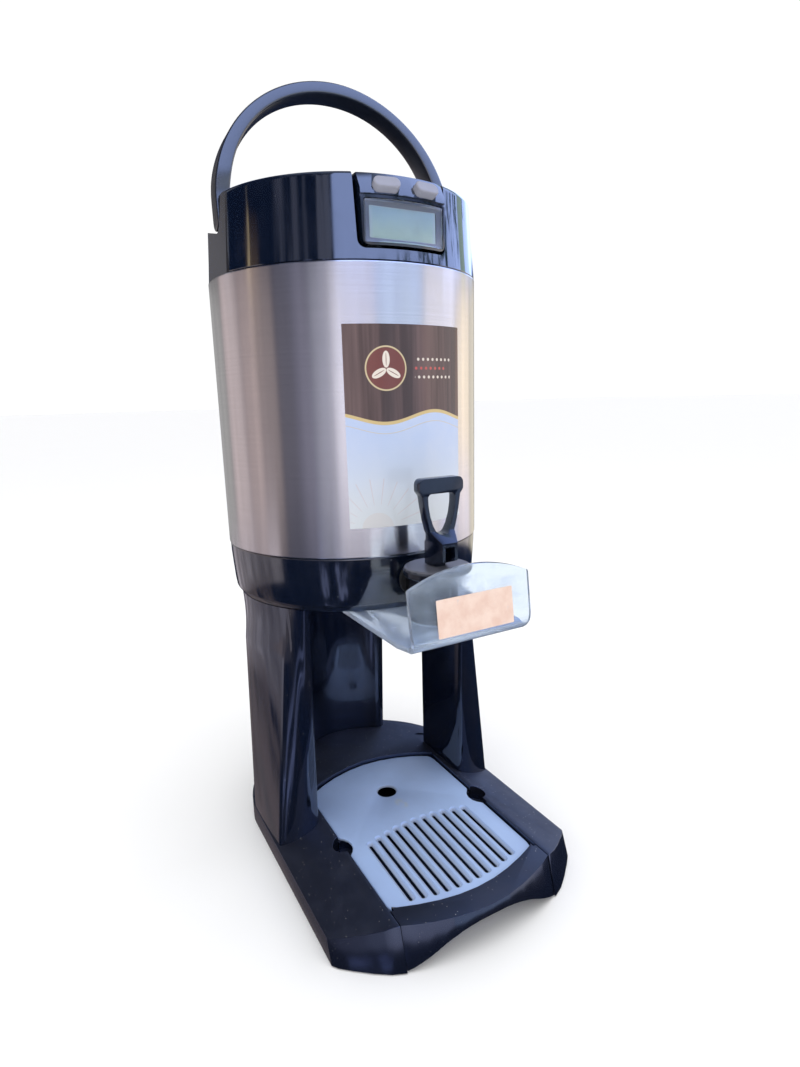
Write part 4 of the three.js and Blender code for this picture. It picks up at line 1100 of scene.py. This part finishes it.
def make_base():
    rear_half = [(X_BASE, 4), (112.6, 14), (109.6, 26), (105, 38), (98.6, 50), (86, 64.6), (66, 80.6), (48, 93.6), (28, 103.4), (0, 108.5)]
    smooth = catmull([(113.2, -20)] + rear_half + [(-x, y) for x, y in reversed(rear_half[:-1])] + [(-113.2, -20)], {0, 20}, 5)
    rear = [p for p in smooth if p[1] > 3.9][:]
    arms = [(-X_BASE, -177), (-110, -181.4), (-102.2, -188.4), (-89.5, -198.6), (-79.4, -205.6), (-X_SEAM, -210.4)]
    arms = arms + [(-x, y) for x, y in reversed(arms)]
    outline = arms + rear

    def lean(x, y, z):
        if y < -150:
            y = y + (z - 1) * lerp(0.29, 0.4, clamp01((abs(x) - X_SEAM) / 42))
        return (x, y, z)

    ob = prism("base_shell", outline, 1, DECK, bend=lean)
    for k in (1, -1):
        w = [(X_CREASE * k, DECK), (120 * k, slope_z(120)), (120 * k, 60), (X_CREASE * k, 60)]
        cut(ob, prism("w", w, -240, 20, "y"))
    fall = lathe("f", [(80, DECK), (130, DECK - 18), (130, 60), (80, 60)], 192, closed=True)
    both(fall, block("b", -140, 140, 8, 140, 0, 80))
    cut(ob, fall)
    bay_half = [(X_SEAM, -240), (X_SEAM, -22), (67, -19.5), (54, -12.2), (36, -4.8), (18, -0.2), (0, 1.6)]
    bay = bay_half + [(-x, y) for x, y in reversed(bay_half[:-1])]
    cut(ob, prism("b", bay, 3.6, 60))
    cut(ob, block("g", -X_SEAM, X_SEAM, -240, -195.6, -5, 60))
    for k in (1, -1):
        cut(ob, stick("s", 10.4, 19, 60, 66.8 * k, -101.4, 48))
    tidy(ob)
    planar(ob, 0.5)
    rounded_edges(ob, 0.8, 3, 24)
    return ob


def base_mat(name, brown=1.0):
    t = Tree(name)
    x, y, z = t.xyz()
    big = t.noise(11, 5, 0.65)
    mid = t.noise(60, 5, 0.7)
    fine = t.noise(900, 2, 0.6)
    up = t.nt.nodes.new("ShaderNodeNewGeometry").outputs["Normal"]
    nz = t.xyz(up)[2]
    flat = t.step(nz, 0.55, 0.95)
    dusty = t.m("MULTIPLY", t.step(t.m("ADD", t.m("MULTIPLY", big, 0.55), t.m("MULTIPLY", mid, 0.45)), 0.40, 0.70), flat)
    grains = t.m("MAXIMUM", t.specks(520, 0.17, 0.14), t.specks(170, 0.075, 0.11))
    grains = t.m("MAXIMUM", grains, t.m("MULTIPLY", t.specks(60, 0.035, 0.10), 1.0))
    grains = t.m("MULTIPLY", grains, t.m("ADD", t.m("MULTIPLY", flat, 0.65), 0.12))
    col = t.mix(t.step(big, 0.3, 0.7), (0.004, 0.006, 0.014), (0.008, 0.009, 0.015))
    col = t.mix(flat, col, (0.0065, 0.0065, 0.0085))
    col = t.mix(t.m("MULTIPLY", dusty, 0.32), col, (0.050, 0.047, 0.045))
    col = t.mix(grains, col, (0.60, 0.60, 0.58))
    r = t.m("ADD", t.m("ADD", t.m("MULTIPLY", dusty, 0.15), t.m("MULTIPLY", flat, 0.34)), t.m("ADD", t.m("MULTIPLY", mid, 0.08), 0.14))
    nrm = t.bump(fine, 0.06, 0.0002)
    t.set(base=col, rough=r, ior=1.62, spec=0.9, tint=(0.58, 0.68, 1.0), normal=nrm)
    return t.mat


M["base"] = base_mat("base_black")
piece(make_base(), "frame", M["base"], ["base_frame"], 36)


# ------------------------------------------------------------------ drip cover and tray
def cover_outline(o, fine=False):
    half = [(0, 0 + o), (18, -1.6 + o), (36, -6.2 + o), (50, -12 + o), (60, -17.6 + o), (64.6 + o, -20.4 + o), (66.6 + o, -24), (67.4 + o, -30), (67.6 + o, -88)]
    notch = [] if o > 2 else [(67 + o, -89.6), (64.2 + o, -92.4), (61.8 + o, -96.6), (61 + o, -101.4), (61.8 + o, -106.2), (64.2 + o, -110.4), (67 + o, -113.4)]
    low = [(67.6 + o, -115), (67.4 + o, -176), (66.4 + o, -181.4 - o * 0.4), (62.6 + o * 0.6, -184 - o), (48, -189.6 - o), (32, -194.2 - o), (16, -197.2 - o), (0, -198.2 - o)]
    right = half + notch + low
    pts = right + [(-x, y) for x, y in reversed(right[1:-1])]
    if fine:
        rad = []
        for x, y in pts:
            ax = abs(x)
            if -114 < y < -89:
                rad.append(3)
            elif y > -30 and ax > 58:
                rad.append(5)
            elif y < -175 and ax > 61:
                rad.append(5)
            elif abs(y + 88) < 1 or abs(y + 115) < 1:
                rad.append(1.2)
            else:
                rad.append(14)
        pts = fillet(pts, rad, 4)
    return pts


def make_cover():
    top = 29.6
    ob = prism("slotted_cover", cover_outline(0, True), top - 3, top)
    planar(ob, 0.2)
    rounded_edges(ob, 0.9, 4, 50)
    hole = lathe("h", fillet([(0, 20), (9, 20), (9, 27.4), (9.5, 28.6), (11.2, top + 0.01), (11.2, 35), (0, 35)], [0, 0, 1, 1, 0, 0, 0], 4, closed=False), 64, x=0, y=-51)
    cut(ob, hole)

    def stadium(x, w, y0, y1, n=12):
        return arc(x, y1 - w / 2, w / 2, 0, 180, n) + arc(x, y0 + w / 2, w / 2, 180, 360, n)

    for i in range(-5, 6):
        x = i * 9.52
        u = (i / 5) ** 2
        yb, yfr = -102.8 - 8 * u, -189.4 + 7.4 * u
        # hollow with sloping sides, then the slit through its floor
        rings = []
        for w, e, z in ((8.6, 1.1, top + 0.6), (7.6, 0.6, top + 0.02), (7.0, 0.3, top - 0.5), (5.2, -0.6, top - 1.5), (3.4, -1.5, top - 1.9)):
            rings.append([(a, b, z) for a, b in stadium(x, w, yfr - e, yb + 3 + e)])
        cut(ob, loft("t", rings))
        cut(ob, prism("s", stadium(x, 3.0, yfr + 1.8, yb + 0.6), 10, 40))
    tidy(ob)
    return ob


def cover_mat():
    t = Tree("cover_grey")
    x, y, z = t.xyz()
    big = t.noise(12, 4, 0.6)
    fine = t.noise(2200, 2, 0.6)
    dirt = t.noise(75, 5, 0.7)
    low = t.step(z, 0.0276, 0.0293, 1, 0)
    col = t.mix(t.step(big, 0.3, 0.7), (0.37, 0.50, 0.80), (0.42, 0.57, 0.90))
    # painted shade: the hollows are painted darker grey, standing in for the shade on their sloping sides
    col = t.mix(t.m("MULTIPLY", low, 0.75), col, (0.34, 0.39, 0.50))
    # faint stain in front of the hole
    dx = t.m("MULTIPLY", t.m("SUBTRACT", x, 0.002), 110)
    dy = t.m("MULTIPLY", t.m("SUBTRACT", y, -0.023), 75)
    d = t.m("ADD", t.m("MULTIPLY", dx, dx), t.m("MULTIPLY", dy, dy))
    stain = t.m("MULTIPLY", t.step(d, 0.0, 0.6, 1, 0), t.step(dirt, 0.35, 0.65))
    col = t.mix(t.m("MULTIPLY", stain, 0.45), col, (0.62, 0.58, 0.44))
    col = t.mix(t.m("MULTIPLY", t.step(dirt, 0.62, 0.8), 0.18), col, (0.20, 0.21, 0.24))
    specks = t.m("MULTIPLY", t.specks(130, 0.05, 0.06), 0.6)
    col = t.mix(specks, col, (0.10, 0.10, 0.11))
    r = t.m("ADD", t.m("MULTIPLY", dirt, 0.15), 0.33)
    t.set(base=col, rough=r, spec=0.5, normal=t.bump(fine, 0.07, 0.00015))
    return t.mat


M["cover"] = cover_mat()
piece(make_cover(), "cover", M["cover"], ["drip_cover"], 34)


def make_tray():
    front = [(68.5, -200.6), (58, -205.6), (46, -210), (32, -214), (16, -217), (0, -218)]
    back = [(0, 1.2), (18, -0.6), (36, -5.2), (54, -12.6), (67, -20), (68.5, -23)]
    right = back + front
    plan = right + [(-x, y) for x, y in reversed(right[1:-1])]
    rad = [14 if abs(x) < 60 else (0 if y < -190 else 4) for x, y in plan]
    plan = fillet(plan, rad, 4)

    def lean(x, y, z):
        return (x, y - 9 * (DECK - z) / 32 if y < -199 else y, z)

    ob = prism("tray_shell", plan, 1, DECK, bend=lean)
    cut(ob, block("u", -80, 80, -196, 20, -5, 3.9))
    cut(ob, prism("s", cover_outline(0.5, True), 26.3, 60))
    cut(ob, block("t", -80, 80, -180, 20, 26.3, 60))
    for k in (1, -1):
        cut(ob, block("v", *sorted((66 * k, 80 * k)), -186, -179, 26.3, 60))
    basin_half = [(0, -194.4), (20, -193.4), (40, -190), (58, -184), (65.4, -176), (65.4, -24), (52, -15), (34, -8), (17, -3.6), (0, -2)]
    basin = basin_half + [(-x, y) for x, y in reversed(basin_half[1:-1])]
    b = prism("b", basin, 6.4, 60)
    for k in (1, -1):
        cut(b, stick("c", 13, 0, 80, 66.8 * k, -101.4, 40))
    cut(ob, b)
    for k in (1, -1):
        cut(ob, stick("s", 10.4, 19, 60, 66.8 * k, -101.4, 48))
    ah = [(68.8, 1.9), (64, 3.6), (58, 6.8), (52, 9.8), (42, 15.4), (32, 20), (22, 23.2), (12, 25.2), (0, 25.9)]
    arch = catmull([(68.8, -10)] + ah + [(-x, z) for x, z in reversed(ah[:-1])] + [(-68.8, -10)], {0, 1, 17, 18}, 4)
    cut(ob, prism("a", arch, -245, -198.8, "y"))
    tidy(ob)
    planar(ob, 0.5)
    rounded_edges(ob, 0.6, 3, 30)
    return ob


piece(make_tray(), "tray", M["base"], ["drip_tray"], 36)


# ------------------------------------------------------------------ printed card on the steel
def make_card():
    a = 26.0
    r0, r1 = 114.2, 114.6
    rings = []
    for z, e in ((301.5, 0.15), (301.7, 0.0), (340, 0), (380, 0), (420, 0), (451.8, 0.0), (452, 0.15)):
        o = arc(0, 0, r1 - e, -90 - a, -90 + a, 72)
        i = arc(0, 0, r0, -90 + a, -90 - a, 72)
        rings.append([(p[0], p[1], z) for p in o + i])
    return loft("front_card", rings)


def card_mat():
    """Two plain fields with a wavy border, a round badge with three leaves, and thin rules."""
    t = Tree("printed_card")
    x, y, z = t.xyz()
    ang = t.m("ARCTAN2", x, t.m("SUBTRACT", 0.053, y))
    u = t.m("MULTIPLY", ang, 114.6)  # mm along the card
    v = t.m("SUBTRACT", t.m("MULTIPLY", z, 1000), 376.5)  # mm above the middle
    # wavy border between the fields
    wave = t.m("ADD", t.m("MULTIPLY", t.m("SINE", t.m("MULTIPLY", u, 0.075)), 4.0), 9.0)
    dv = t.m("SUBTRACT", v, wave)
    upper = t.step(dv, -0.2, 0.2)
    gold1 = t.m("MULTIPLY", t.step(dv, -2.4, -2.1), t.step(dv, 0.1, 0.4, 1, 0))
    gold2 = t.m("MULTIPLY", t.step(dv, -9.0, -8.8), t.step(dv, -8.4, -8.2, 1, 0))
    n = t.noise(40, 4, 0.6)
    shine = t.noise(1, 3, 0.6, t.scaled(90, 90, 4))
    brown = t.mix(t.step(shine, 0.35, 0.7), (0.045, 0.020, 0.016), (0.13, 0.075, 0.07))
    pale = t.mix(t.step(v, -75, 8), (0.66, 0.70, 0.74), (0.48, 0.58, 0.82))
    pale = t.mix(t.step(n, 0.4, 0.8, 0, 0.2), pale, (0.74, 0.74, 0.80))
    col = t.mix(upper, pale, brown)

    def spot(cu, cv, ru, rv, turn=0.0):
        c, s = math.cos(math.radians(turn)), math.sin(math.radians(turn))
        du, dw = t.m("SUBTRACT", u, cu), t.m("SUBTRACT", v, cv)
        a = t.m("ADD", t.m("MULTIPLY", du, c / ru), t.m("MULTIPLY", dw, s / ru))
        b = t.m("ADD", t.m("MULTIPLY", du, -s / rv), t.m("MULTIPLY", dw, c / rv))
        return t.m("SQRT", t.m("ADD", t.m("MULTIPLY", a, a), t.m("MULTIPLY", b, b)))

    d = spot(-20, 44, 16, 16)
    ring = t.m("MULTIPLY", t.step(d, 0.93, 0.96), t.step(d, 1.0, 1.03, 1, 0))
    col = t.mix(t.step(d, 0.92, 0.95, 1, 0), col, (0.16, 0.035, 0.025))
    col = t.mix(ring, col, (0.62, 0.50, 0.30))
    for cu, cv, turn in ((-20, 50.5, 90), (-25.6, 40.6, 28), (-14.4, 40.6, 152)):
        e = spot(cu, cv, 6.2, 2.9, turn)
        leaf = t.step(e, 0.92, 1.02, 1, 0)
        col = t.mix(leaf, col, (0.78, 0.70, 0.62))
        vein = t.m("MULTIPLY", t.step(spot(cu, cv, 5.2, 0.30, turn), 0.8, 1.0, 1, 0), 1.0)
        col = t.mix(vein, col, (0.16, 0.035, 0.025))
    # rows of small beads beside the badge
    for row, cv, cut_u in ((0, 50.5, 40), (1, 44.0, 34), (2, 37.5, 40)):
        fr = t.m("SUBTRACT", t.m("FRACT", t.m("MULTIPLY", t.m("ADD", u, 60 + 2 * row), 1 / 4.6)), 0.5)
        du = t.m("MULTIPLY", fr, 4.6)
        dw = t.m("SUBTRACT", v, cv)
        dd = t.m("SQRT", t.m("ADD", t.m("MULTIPLY", du, du), t.m("MULTIPLY", dw, dw)))
        inside = t.m("MULTIPLY", t.step(u, 3.4, 3.6), t.step(u, cut_u, cut_u + 0.2, 1, 0))
        bead = t.m("MULTIPLY", t.step(dd, 1.0, 1.2, 1, 0), inside)
        col = t.mix(bead, col, (0.70, 0.62, 0.55) if row != 1 else (0.50, 0.08, 0.07))
    # fan of thin rays in the pale field
    du, dw = t.m("SUBTRACT", u, -30), t.m("SUBTRACT", v, -76)
    rr = t.m("SQRT", t.m("ADD", t.m("MULTIPLY", du, du), t.m("MULTIPLY", dw, dw)))
    aa = t.m("ARCTAN2", dw, du)
    ray = t.m("ABSOLUTE", t.m("SINE", t.m("MULTIPLY", aa, 11)))
    ray = t.m("MULTIPLY", t.step(ray, 0.10, 0.16, 1, 0), t.m("MULTIPLY", t.step(rr, 18, 20), t.step(rr, 38, 40, 1, 0)))
    col = t.mix(t.m("MULTIPLY", ray, 0.45), col, (0.62, 0.50, 0.52))
    disc = t.m("MULTIPLY", t.step(rr, 12.4, 12.9, 1, 0), 0.30)
    col = t.mix(disc, col, (0.66, 0.55, 0.50))
    col = t.mix(t.m("MAXIMUM", gold1, t.m("MULTIPLY", gold2, 0.55)), col, (0.62, 0.47, 0.22))
    rough = t.m("ADD", t.m("MULTIPLY", n, 0.12), 0.14)
    t.set(base=col, rough=rough, spec=0.6, coat=0.35, coatrough=0.06, normal=t.bump(t.noise(9, 2, 0.5), 0.08, 0.0012))
    return t.mat


M["card"] = card_mat()
piece(make_card(), "frame", M["card"], ["label_card"], 30)

# ------------------------------------------------------------------ small hardware
FEET = ((97, -160), (-97, -160), (62, 64), (-62, 64))
for i, (x, y) in enumerate(FEET):
    f = lathe("rubber_foot_%d" % (i + 1), fillet([(0, 0), (8.2, 0), (9, 0.8), (9, 3.1), (0, 3.1)], [0, 0.4, 0.5, 0.3, 0], 3, closed=False), 64, x=x, y=y)
    piece(f, "frame", M["rubber"], ["foot_%d" % (i + 1)], 35)


def screw(name, x, y, z, down, r, cad):
    """Pan head with a cross recess; its head points down."""
    ob = lathe(name, [(0, 0), (r * 0.55, 0.05), (r * 0.85, 0.35), (r, 0.9), (r, down), (r * 0.45, down), (r * 0.45, down + 12), (0, down + 13.4)], 48)
    a = block("a", -0.45, 0.45, -r * 0.6, r * 0.6, -1, 1.1)
    b = block("b", -r * 0.6, r * 0.6, -0.45, 0.45, -1, 1.1)
    cut(ob, a)
    cut(ob, b)
    ob.data.transform(Matrix.Translation((x, y, z)))
    piece(ob, "frame", M["screw"], [cad], 35)


for k, n in ((-1, "left"), (1, "right")):
    screw("guard_bolt_" + n, 36 * k, -89, 226.1, 2.0, 4.4, "guard_screw_" + n)
    screw("leg_bolt_" + n, 93 * k, -25, 8.9, 2.7, 4.2, "leg_screw_" + n)
    screw("column_bolt_" + n, 40 * k, 76, 11.9, 2.8, 4.2, "column_screw_" + n)

def make_spring():
    turns, steps, r, z0, z1, wire = 4, 32, 6.2, 248.2, 261.2, 0.7
    rings = []
    for i in range(turns * steps + 1):
        a = i * 2 * math.pi / steps
        z = z0 + (z1 - z0) * i / (turns * steps)
        ring = []
        for k in range(10):
            b = k * math.pi / 5
            q = r + wire * math.cos(b)
            ring.append((q * math.cos(a), TY + q * math.sin(a), z + wire * math.sin(b)))
        rings.append(ring)
    return loft("spring_coil", rings)


# the coil sits between its seat on the stem and the cap; it rides with the stem and gets a mesh of its own
coil = piece(make_spring(), "stem", M["screw"], ["tap_spring"], 60)
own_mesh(coil)

# hidden pieces keep their own shape
for node, mat in {
    "liner_floor": "inner_steel",
    "inner_liner": "inner_steel",
    "liner_shoulder": "inner_steel",
    "shell_base": "inner_steel",
    "lid_gasket": "rubber",
    "fill_tube": "tube",
    "circuit_board": "board",
    "battery": "battery",
    "outlet_pipe": "tube",
    "shank_nut": "tap_black",
    "shank_washer": "rubber",
    "tap_stem": "tube",
    "seat_cup": "rubber",
    "lever_pin": "screw",
}.items():
    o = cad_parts[node]
    o.data.materials.clear()
    o.data.materials.append(M[mat])

# ------------------------------------------------------------------ camera
cam = bpy.data.cameras.new("camera")
cam.sensor_fit = "AUTO"
cam.sensor_width = 36
cam.lens = 21.363
cam.clip_start = 0.01
cam_ob = bpy.data.objects.new("camera", cam)
bpy.context.scene.collection.objects.link(cam_ob)
X = Vector((0.8722, -0.4885, -0.0261)).normalized()
Z = Vector((-0.4730, -0.8558, 0.2097)).normalized()
Y = Z.cross(X).normalized()
X = Y.cross(Z).normalized()
rot = Matrix((X, Y, Z)).transposed()
cam_ob.matrix_world = Matrix.Translation((-0.2468, -0.4845, 0.3991)) @ rot.to_4x4()
bpy.context.scene.camera = cam_ob

# ------------------------------------------------------------------ floor, world and lights
bpy.context.scene.view_settings.view_transform = "Standard"
bpy.context.scene.view_settings.look = "None"

fl = mesh("floor", [(-40, -40, 0), (40, -40, 0), (40, 40, 0), (-40, 40, 0)], [(0, 1, 2, 3)])
t = Tree("floor_pale")
n = t.noise(3, 3, 0.5)
t.set(base=t.mix(n, (0.972, 0.972, 0.978), (0.985, 0.985, 0.99)), rough=0.8, spec=0.1)
fl.data.materials.append(t.mat)
fl.visible_glossy = False

world = bpy.data.worlds.new("studio")
bpy.context.scene.world = world
world.use_nodes = True


class World(Tree):
    def __init__(self, w):
        self.nt = w.node_tree
        self._obj = None


w = World(world)
wn = world.node_tree.nodes
wl = world.node_tree.links
bg = next(n for n in wn if n.type == "BACKGROUND")
d = wn.new("ShaderNodeTexCoord").outputs["Generated"]
dx, dy, dz = w.xyz(d)
az = w.m("ARCTAN2", dx, w.m("MULTIPLY", dy, -1))  # 0 = straight in front, positive = to the right
el = w.m("ARCSINE", dz)
# studio panels, seen only in reflections; each is a soft-edged card: azimuth and elevation span in degrees
def span(v, a, b, soft):
    rise = w.step(v, math.radians(a - soft), math.radians(a + soft))
    fall = w.step(v, math.radians(b - soft), math.radians(b + soft), 1, 0)
    return w.m("MULTIPLY", rise, fall)


def card(under, colour, a0, a1, e0, e1, sa=4, se=3, part=1.0, mask=None):
    f = w.m("MULTIPLY", span(az, a0, a1, sa), span(el, e0, e1, se))
    if part != 1.0:
        f = w.m("MULTIPLY", f, part)
    if mask is not None:
        f = w.m("MULTIPLY", f, mask)
    return w.mix(f, under, colour)


streaks = w.noise(1, 3, 0.65, w.scaled(9, 9, 0.7, d))
blotch = w.noise(7, 4, 0.7, d)
tree = w.noise(16, 5, 0.7, d)
BLUE = (1.15, 1.50, 2.75)
# dark room
c = w.mix(w.step(el, math.radians(-60), math.radians(-10)), (0.015, 0.017, 0.028), (0.010, 0.018, 0.050))
# open sky to the right and behind
c = card(c, BLUE, -31, 104, 16.5, 100, 1.5, 1.2)
c = card(c, BLUE, 68, 146, 11.5, 29, 3, 1.2)
c = card(c, (0.22, 0.27, 0.42), -200, 200, 64, 100, 2, 5)
# tall grey streaks at the edge of the sky
c = card(c, (0.30, 0.33, 0.47), -54, -30, 8, 62, 2, 4, 1.0, w.step(streaks, 0.46, 0.60))
c = card(c, (0.20, 0.22, 0.32), -80, -52, 14, 50, 3, 4, 1.0, w.step(streaks, 0.42, 0.60))
# brown wall on the left with slanting light bands
slant = w.m("FRACT", w.m("ADD", w.m("MULTIPLY", az, 5.2), w.m("MULTIPLY", el, 2.6)))
slant = w.m("MULTIPLY", w.step(slant, 0.0, 0.25), w.step(slant, 0.45, 0.9, 1, 0))
wall_l = w.mix(slant, (0.065, 0.060, 0.062), (0.17, 0.165, 0.18))
c = card(c, wall_l, -200, -141, -90, 34, 3, 6)
c = card(c, (0.34, 0.37, 0.44), -142, -133, 4, 40, 1.2, 3)
c = card(c, (0.30, 0.20, 0.12), -110, -97, 9, 18.5, 2.5, 2)
c = card(c, (1.7, 1.35, 0.80), -108.6, -106.2, 9, 19, 0.6, 2)
c = card(c, (0.28, 0.26, 0.26), -108.6, -107.6, 18, 30, 0.5, 3)
# low band
LOW = [
    (-186, -150, (0.42, 0.42, 0.42)),
    (-150, -123, (0.66, 0.57, 0.58)),
    (-123, -103, (0.52, 0.43, 0.43)),
    (-103, -84, (0.33, 0.28, 0.29)),
    (-84, -68, (0.16, 0.155, 0.20)),
    (-68, -53, (0.26, 0.255, 0.34)),
    (-53, -38, (0.46, 0.47, 0.58)),
    (-38, 2, (1.00, 0.99, 1.14)),
    (2, 44, (0.78, 0.92, 1.15)),
    (44, 84, (1.15, 1.12, 1.18)),
    (84, 113, (1.30, 1.14, 0.92)),
    (113, 135, (0.84, 0.78, 0.66)),
]
for a0, a1, colour in LOW:
    c = card(c, colour, a0, a1, -12.3 if a1 < -90 else -14.6, 9.5 if a1 < -130 or a0 > 70 else 12.5, 4, 0.8)
c = card(c, (0.42, 0.42, 0.42), 170, 200, -12.3, 9.5, 5, 0.8)
c = card(c, w.mix(w.step(streaks, 0.35, 0.65), (0.40, 0.36, 0.40), (0.80, 0.74, 0.82)), -175, -94, -22, -12, 2, 0.8, 0.9)
fine = w.noise(1, 4, 0.7, w.scaled(13, 13, 0.25, d))
c = w.mix(w.m("MULTIPLY", w.step(fine, 0.52, 0.72), w.step(el, math.radians(12), math.radians(10))), c, w.mix(1.0, c, (1.45, 1.42, 1.38), "MULTIPLY"))
c = w.mix(w.m("MULTIPLY", w.step(fine, 0.46, 0.30), w.step(el, math.radians(12), math.radians(10))), c, w.mix(1.0, c, (0.72, 0.72, 0.74), "MULTIPLY"))
# blue light from low on the right, for the faces of the base
c = card(c, (0.50, 0.72, 1.7), 60, 112, -14, -6, 6, 2.5, 0.3)
# narrow streaks near the floor in front
c = card(c, (0.55, 0.65, 1.15), -56, -27, -62, -16, 2, 3, 1.0, w.step(streaks, 0.58, 0.66))
# trees against the sky
c = card(c, (0.04, 0.09, 0.075), -33, 112, 15, 19.5, 1.5, 1.0, 1.0, w.step(tree, 0.50, 0.56))
c = card(c, (0.55, 0.75, 0.70), 96, 106, 11, 60, 1.2, 2)
c = card(c, (1.5, 1.9, 2.6), 118, 126, 11, 60, 1.5, 2)
# ground, lighter in patches on the left
c = card(c, (0.26, 0.21, 0.22), -200, -112, -60, -20, 5, 2, 1.0, w.step(streaks, 0.30, 0.62))
lp = wn.new("ShaderNodeLightPath")
out = w.mix(lp.outputs["Is Glossy Ray"], (1.03, 1.03, 1.03), c)
wl.new(out, bg.inputs["Color"])
bg.inputs["Strength"].default_value = 1.0


def area(name, loc, aim, size, power, color=(1, 1, 1), glossy=True):
    L = bpy.data.lights.new(name, "AREA")
    L.shape = "RECTANGLE"
    L.size, L.size_y = size
    L.energy = power
    L.color = color
    o = bpy.data.objects.new(name, L)
    bpy.context.scene.collection.objects.link(o)
    o.location = loc
    o.rotation_euler = (Vector(aim) - Vector(loc)).to_track_quat("-Z", "Y").to_euler()
    o.visible_camera = False
    o.visible_glossy = glossy
    return o


area("top_soft", (0.1, -0.3, 1.9), (0, 0, 0.2), (1.4, 1.4), 9, (0.95, 0.97, 1.0), glossy=False)
